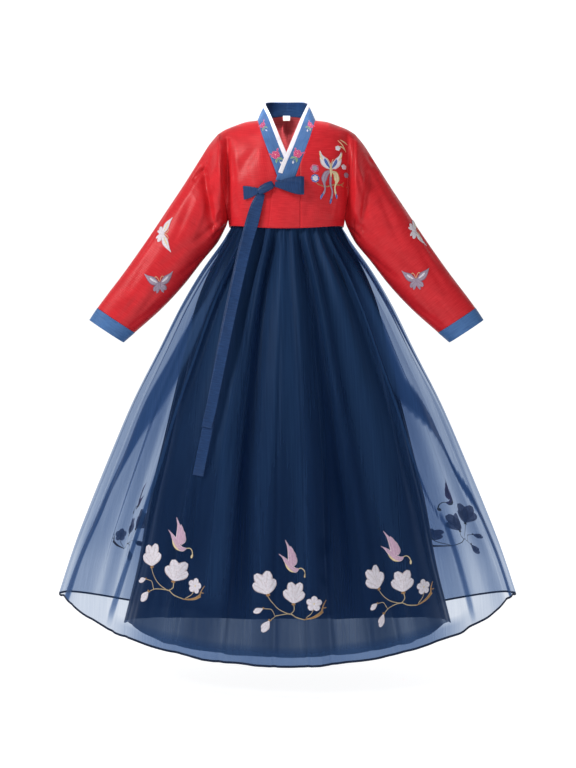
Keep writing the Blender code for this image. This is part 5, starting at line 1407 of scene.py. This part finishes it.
def stitch(group, shapes, place, base=0.0007, dome=0.0009, along=13, across=7):
    """Lay shapes on the cloth; place turns millimetres across and up into points of it."""
    for colour, spine, widths, high in shapes:
        reach = reach_of(spine)
        steps = max(along, int(reach[-1] / SPINE_STEP))
        at = np.linspace(0.0, reach[-1], steps)
        line = np.stack([curve(reach, spine[:, i], at) for i in (0, 1)], axis=1)
        run = np.gradient(line, axis=0)
        run /= np.linalg.norm(run, axis=1, keepdims=True)
        half = curve(np.linspace(0.0, reach[-1], len(widths)), widths, at)
        share = np.linspace(-1.0, 1.0, across)
        side = np.stack((run[:, 1], -run[:, 0]), 1)
        flat = line[:, None] + side[:, None] * (half[:, None] * share)[..., None]
        here, right, above = (place(*np.moveaxis((flat + step) / 1000.0, -1, 0))
                              for step in ((0, 0), (SLOPE_STEP, 0), (0, SLOPE_STEP)))
        out = np.cross(right - here, above - here)
        out /= np.linalg.norm(out, axis=-1, keepdims=True)
        ends = np.sin(math.pi * np.clip(np.linspace(0.02, 0.98, steps), 0.0, 1.0))[:, None] ** 0.4
        padding = np.sqrt(1.0 - share ** 2 * 0.98) * ends * np.minimum(1.0, half[:, None] / PADDED)
        lift = base + high * LAYER + dome * padding
        uv = np.stack(np.broadcast_arrays((share + 1.0) / 2.0, at[:, None] / 1000.0), axis=-1)
        patches.setdefault((group, colour), []).append((here + out * lift[..., None], uv))


def finish_stitches(group, colour):
    """All shapes of one thread on one part of the garment, as one piece."""
    mesh = bmesh.new()
    layer = mesh.loops.layers.uv.new("stitch")
    for points, uv in patches[(group, colour)]:
        rows, columns = points.shape[:2]
        made = bmesh.ops.create_grid(mesh, x_segments=columns - 1, y_segments=rows - 1, size=0.5)
        made = made["verts"]
        spots = {vertex: i for i, vertex in enumerate(made)}
        for vertex, point in zip(made, points.reshape(-1, 3)):
            vertex.co = point
        for face in {face for vertex in made for face in vertex.link_faces}:
            for loop in face.loops:
                loop[layer].uv = uv.reshape(-1, 2)[spots[loop.vert]]
    piece = placed(f"{group}_{colour}", mesh, THREADS[colour])
    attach(piece, "root")
    return len(piece.data.polygons)

# %% Sprays round the hem
LOWEST_STITCH = 10.95          # row of the skirt's table below which nothing is stitched


def on_skirt(turn, row):
    """Place on the organza: metres across and up from a turn and a row of its table."""
    angle = math.radians(turn)
    width, deep = (float(curve(range(12), ORGANZA[c], row)) for c in ("half_width", "front_depth"))
    per_degree = math.radians(1.0) * math.hypot(width * math.cos(angle), deep * math.sin(angle))
    step = skirt_point(ORGANZA, row + 0.1, turn, 0.0) - skirt_point(ORGANZA, row - 0.1, turn, 0.0)
    per_row = float(np.linalg.norm(step)) / 0.2
    return lambda a, b: skirt_point(ORGANZA, np.minimum(row - b / per_row, LOWEST_STITCH),
                                    turn + a / per_degree, 1.0)


SPRAYS = ((-31.0, 10.10), (0.7, 10.24), (30.0, 10.28), (119.0, 9.95), (149.0, 10.2), (178.0, 10.3),
          (206.0, 10.25), (233.0, 10.0))      # turn and row of each
for turn, row in SPRAYS:
    stitch("hem_spray", moved(spray, scale=1.47), on_skirt(turn, row), base=0.0010)

# %% Butterflies on the sleeves, flowers on collar and chest
def on_sleeve(turn, along, side, lean):
    """Place on a sleeve: metres across and up in the front view, leaning with the sleeve."""
    mirror = -1.0 if side == "right" else 1.0
    here = sleeve_point(turn, along, 0.0)
    round_step = np.linalg.norm(sleeve_point(turn + 1.0, along, 0.0) - here)      # in a degree
    down_step = np.linalg.norm(sleeve_point(turn, along + 0.01, 0.0) - here) / 0.01
    c, d = math.cos(math.radians(lean)), math.sin(math.radians(lean))

    def place(a, b):
        a = a * mirror
        out, down = c * a + d * b, d * a - c * b
        points = sleeve_point(turn - out / round_step, along + down / down_step)
        return pressed(mirrored(points) if side == "right" else points)
    return place


SLEEVE_LEAN = 33.0             # of the sleeve in the front view, in degrees
SLEEVE_SPOTS = (("right", 53, 0.495, white_butterfly, 84.0), ("right", 115, 0.650, butterfly, -16.0),
                ("left", 37, 0.500, white_butterfly, 84.0), ("left", 105, 0.650, butterfly, 6.0))
for side, turn, along, shapes, turned in SLEEVE_SPOTS:
    stitch("sleeve_butterfly", moved(shapes, turned=-turned, scale=1.18),
           on_sleeve(turn, along, side, SLEEVE_LEAN), base=0.0006)


def on_collar(height, is_under, share):
    """Place on the front part of the collar at a height of its seam."""
    seam, edge = (line[COLLAR_BACK_STEPS:] for line in half_collar(is_under, front_steps=400))
    run = reach_of(seam + (edge - seam) * share)
    start = float(np.interp(-height, -seam[:, 2], run))
    wide = np.linalg.norm(edge - seam, axis=1)
    mirror = -1.0 if is_under else 1.0

    def place(a, b):
        at = start - b
        base, free = (np.stack([np.interp(at, run, line[:, i]) for i in range(3)], -1)
                      for line in (seam, edge))
        across = share - a * mirror / np.interp(at, run, wide)
        crown = np.sin(math.pi * np.clip(across, 0.0, 1.0)) * COLLAR_CROWN
        points = base + (free - base) * across[..., None] - BACKWARD * crown[..., None]
        return mirrored(points) if is_under else points
    return place


# height of its seam, whether it is on the under half, scale, and share of the collar's width
COLLAR_SPOTS = ((-0.024, False, 1.05, 0.22), (-0.103, False, 1.15, 0.34),
                (-0.024, True, 1.05, 0.22), (-0.105, True, 1.15, 0.34))
for height, is_under, scale, share in COLLAR_SPOTS:
    stitch("collar_flower", moved(collar_sprig, turned=10.0 if is_under else -10.0, scale=scale * 1.30),
           on_collar(height, is_under, share), dome=0.0006)


def on_chest(x, z):
    """Place on the upper front."""
    return lambda a, b: pressed(body_point("front", x + a, level_of("front", x + a, z + b)))


wing_right = drawn(
    ("white", [(6, 12), (19, 27), (29, 45), (33, 60)], (2.0, 8.5, 11.0, 8.0, 3.0, 0.5)),
    ("blue", [(8, 15), (16, 27), (22, 40)], (1.0, 3.6, 4.4, 1.6), 0.5),
    ("cream", [(24, 30), (31, 44), (35, 58)], (0.8, 2.0, 2.0, 0.6), 0.5))
wing_tails = drawn(
    ("cream", [(7, 8), (18, 0), (21, -16), (16, -36), (20, -60)],
     (2.0, 7.0, 7.6, 3.2, 2.0, 2.6, 0.8), 0.2),
    ("lilac", [(4, 8), (-8, -2), (-13, -18), (-10, -40), (-20, -64)],
     (2.0, 7.0, 7.6, 3.2, 2.0, 2.8, 0.8), 0.2),
    ("lilac", [(5, 2), (4, -24), (9, -48), (4, -74)], (1.5, 3.4, 2.6, 2.0, 2.8, 1.0), 0.4),
    ("blue", [(7, -62), (3, -78)], (0.8, 2.8, 1.0), 0.6),
    ("blue", [(19, -50), (21, -64)], (0.8, 2.4, 0.8), 0.6),
    ("blue", [(-16, -52), (-22, -68)], (0.8, 2.6, 0.8), 0.6))
body = drawn(
    ("cream", [(5, 28), (5, 6), (5, -10)], (1.0, 3.2, 3.6, 2.6, 1.0), 0.8),
    ("cream", [(4, 27), (-2, 37), (-9, 42)], (0.6, 0.6, 0.9)),
    ("cream", [(6, 27), (10, 37), (18, 44)], (0.6, 0.6, 0.9)))
twig = drawn(
    ("brown", [(-26, -30), (-8, -34), (12, -28), (32, -26), (46, -10)], (0.8, 1.3, 1.6, 1.2, 0.8)),
    ("brown", [(30, -26), (42, -30), (50, -28)], (0.9, 0.9, 0.7)),
    ("brown", [(-26, -30), (-36, -22), (-38, -8)], (0.8, 0.8, 0.7)),
    ("cream", [(24, 92), (36, 80), (46, 62)], (0.6, 1.4, 1.2, 0.6)),
    ("cream", [(30, 94), (42, 88), (50, 82)], (0.6, 1.6, 0.6)),
    ("cream", [(22, 76), (34, 74), (44, 66)], (0.6, 1.5, 0.7)))
chest_spray = (twig + wing_tails + wing_right + moved(wing_right, (10, 0), flip=True) + body
               + moved(blossom("rose", 5, 11, 0.50), (-37, 12))
               + moved(blossom("lilac", 5, 8, 0.34, 36, high=0.5), (-37, 12))
               + moved(blossom("blue", 8, 11, 0.34), (-36, -14))
               + moved(blossom("white", 6, 8, 0.30, high=0.6), (-36, -14))
               + moved(blossom("lilac", 5, 7, 0.34), (47, 2))
               + moved(blossom("white", 5, 7, 0.30), (40, 22))
               + moved(blossom("white", 5, 7, 0.30, 20), (24, 70)))
stitch("chest_spray", moved(chest_spray, scale=0.96), on_chest(0.106, -0.146), dome=0.0008)
faces = sum(finish_stitches(group, colour)
            for group, colour in sorted(patches))
print("embroidery:", len(patches), "pieces with", faces, "faces")

# %% [markdown]
# ## Floor, light and camera
#
# A pale sweep, floor and wall in one, gives off a little light of its own. A key lamp from the upper
# left and a weak fill leave the folds to read by their shade, and a small lamp looks into the neck.

# %% Studio
FLOOR_Z = -1.42
SWEEP_HALF, SWEEP_BEND, WALL_Y = 13.8, 3.4, 8.0      # the wall leaves room for a look from behind
CAMERA_AWAY, EYE_X, EYE_Z, LENS, SENSOR = 3.6, 0.0039, -0.673, 65.66, 36.0


def paper(name, colour, grain_colour, glow):
    """A matt surface that also gives off a little light of its own."""
    material, tree, out = new_material(name)
    place = add(tree, "TexCoord").outputs["Object"]
    grain = add(tree, "TexNoise", {"Vector": place, "Scale": 3.0}).outputs["Fac"]
    shader = add(tree, "BsdfPrincipled",
                 {"Base Color": mixed_colour(tree, grain, colour, grain_colour), "Roughness": 0.9,
                  "Emission Color": linear("#FFFFFF"), "Emission Strength": glow})
    tree.links.new(shader.outputs[0], out.inputs["Surface"])
    return material


bend = [(WALL_Y + SWEEP_BEND * (math.sin(a) - 1.0), SWEEP_BEND * (1.0 - math.cos(a)))
        for a in np.linspace(0.1, math.pi / 2.0, 12)]
profile = [(-SWEEP_HALF, 0.0), (WALL_Y - SWEEP_BEND, 0.0), *bend, (WALL_Y, SWEEP_HALF)]
mesh = bmesh.new()
bmesh.ops.create_grid(mesh, x_segments=1, y_segments=len(profile) - 1, size=0.5)
for i, vertex in enumerate(mesh.verts):
    y, z = profile[i // 2]
    vertex.co = (SWEEP_HALF * (1.0 if i % 2 else -1.0), y, z + FLOOR_Z)
floor = placed("pale_sweep", mesh, paper("matt studio paper", "#8E8E90", "#989899", 0.93))


def lamp(name, place, aim, size, power, colour="#FFFFFF", spread=180.0):
    """A square soft light that faces a point and spreads by so many degrees."""
    light = bpy.data.lights.new(name, "AREA")
    light.shape, light.size, light.energy, light.color = "SQUARE", size, power, linear(colour)[:3]
    light.spread = math.radians(spread)
    item = bpy.data.objects.new(name, light)
    item.location = place
    item.rotation_euler = (Vector(aim) - Vector(place)).to_track_quat("-Z", "Y").to_euler()
    bpy.context.scene.collection.objects.link(item)


lamp("key", (-1.95, -1.60, 1.25), (0.0, -0.1, -0.40), 0.9, 54.0, "#FFFCF8")
lamp("neck", (-0.12, -0.62, 0.95), (0.0, 0.075, -0.03), 0.16, 0.22, spread=15.0)
lamp("fill", (1.2, -3.4, 0.6), (0.0, 0.0, -0.5), 2.4, 12.0, "#F4F7FF")
world = bpy.data.worlds.new("studio")
bpy.context.scene.world = world
world.use_nodes = True
backdrop = world.node_tree.nodes["Background"]
backdrop.inputs["Color"].default_value = linear("#FFFFFF")
backdrop.inputs["Strength"].default_value = 0.17

view = bpy.data.cameras.new("camera")
view.sensor_fit, view.sensor_height, view.sensor_width, view.lens = "VERTICAL", SENSOR, SENSOR, LENS
camera = bpy.data.objects.new("camera", view)
camera.location = (EYE_X, -CAMERA_AWAY, EYE_Z)
camera.rotation_euler = (math.radians(90.0), 0.0, 0.0)
bpy.context.scene.collection.objects.link(camera)
bpy.context.scene.camera = camera
bpy.context.scene.view_settings.view_transform = "Standard"
bpy.context.scene.cycles.transparent_max_bounces = 32
print("camera", CAMERA_AWAY, "m in front, level with z", EYE_Z)

# %% Finish
bpy.context.view_layer.update()
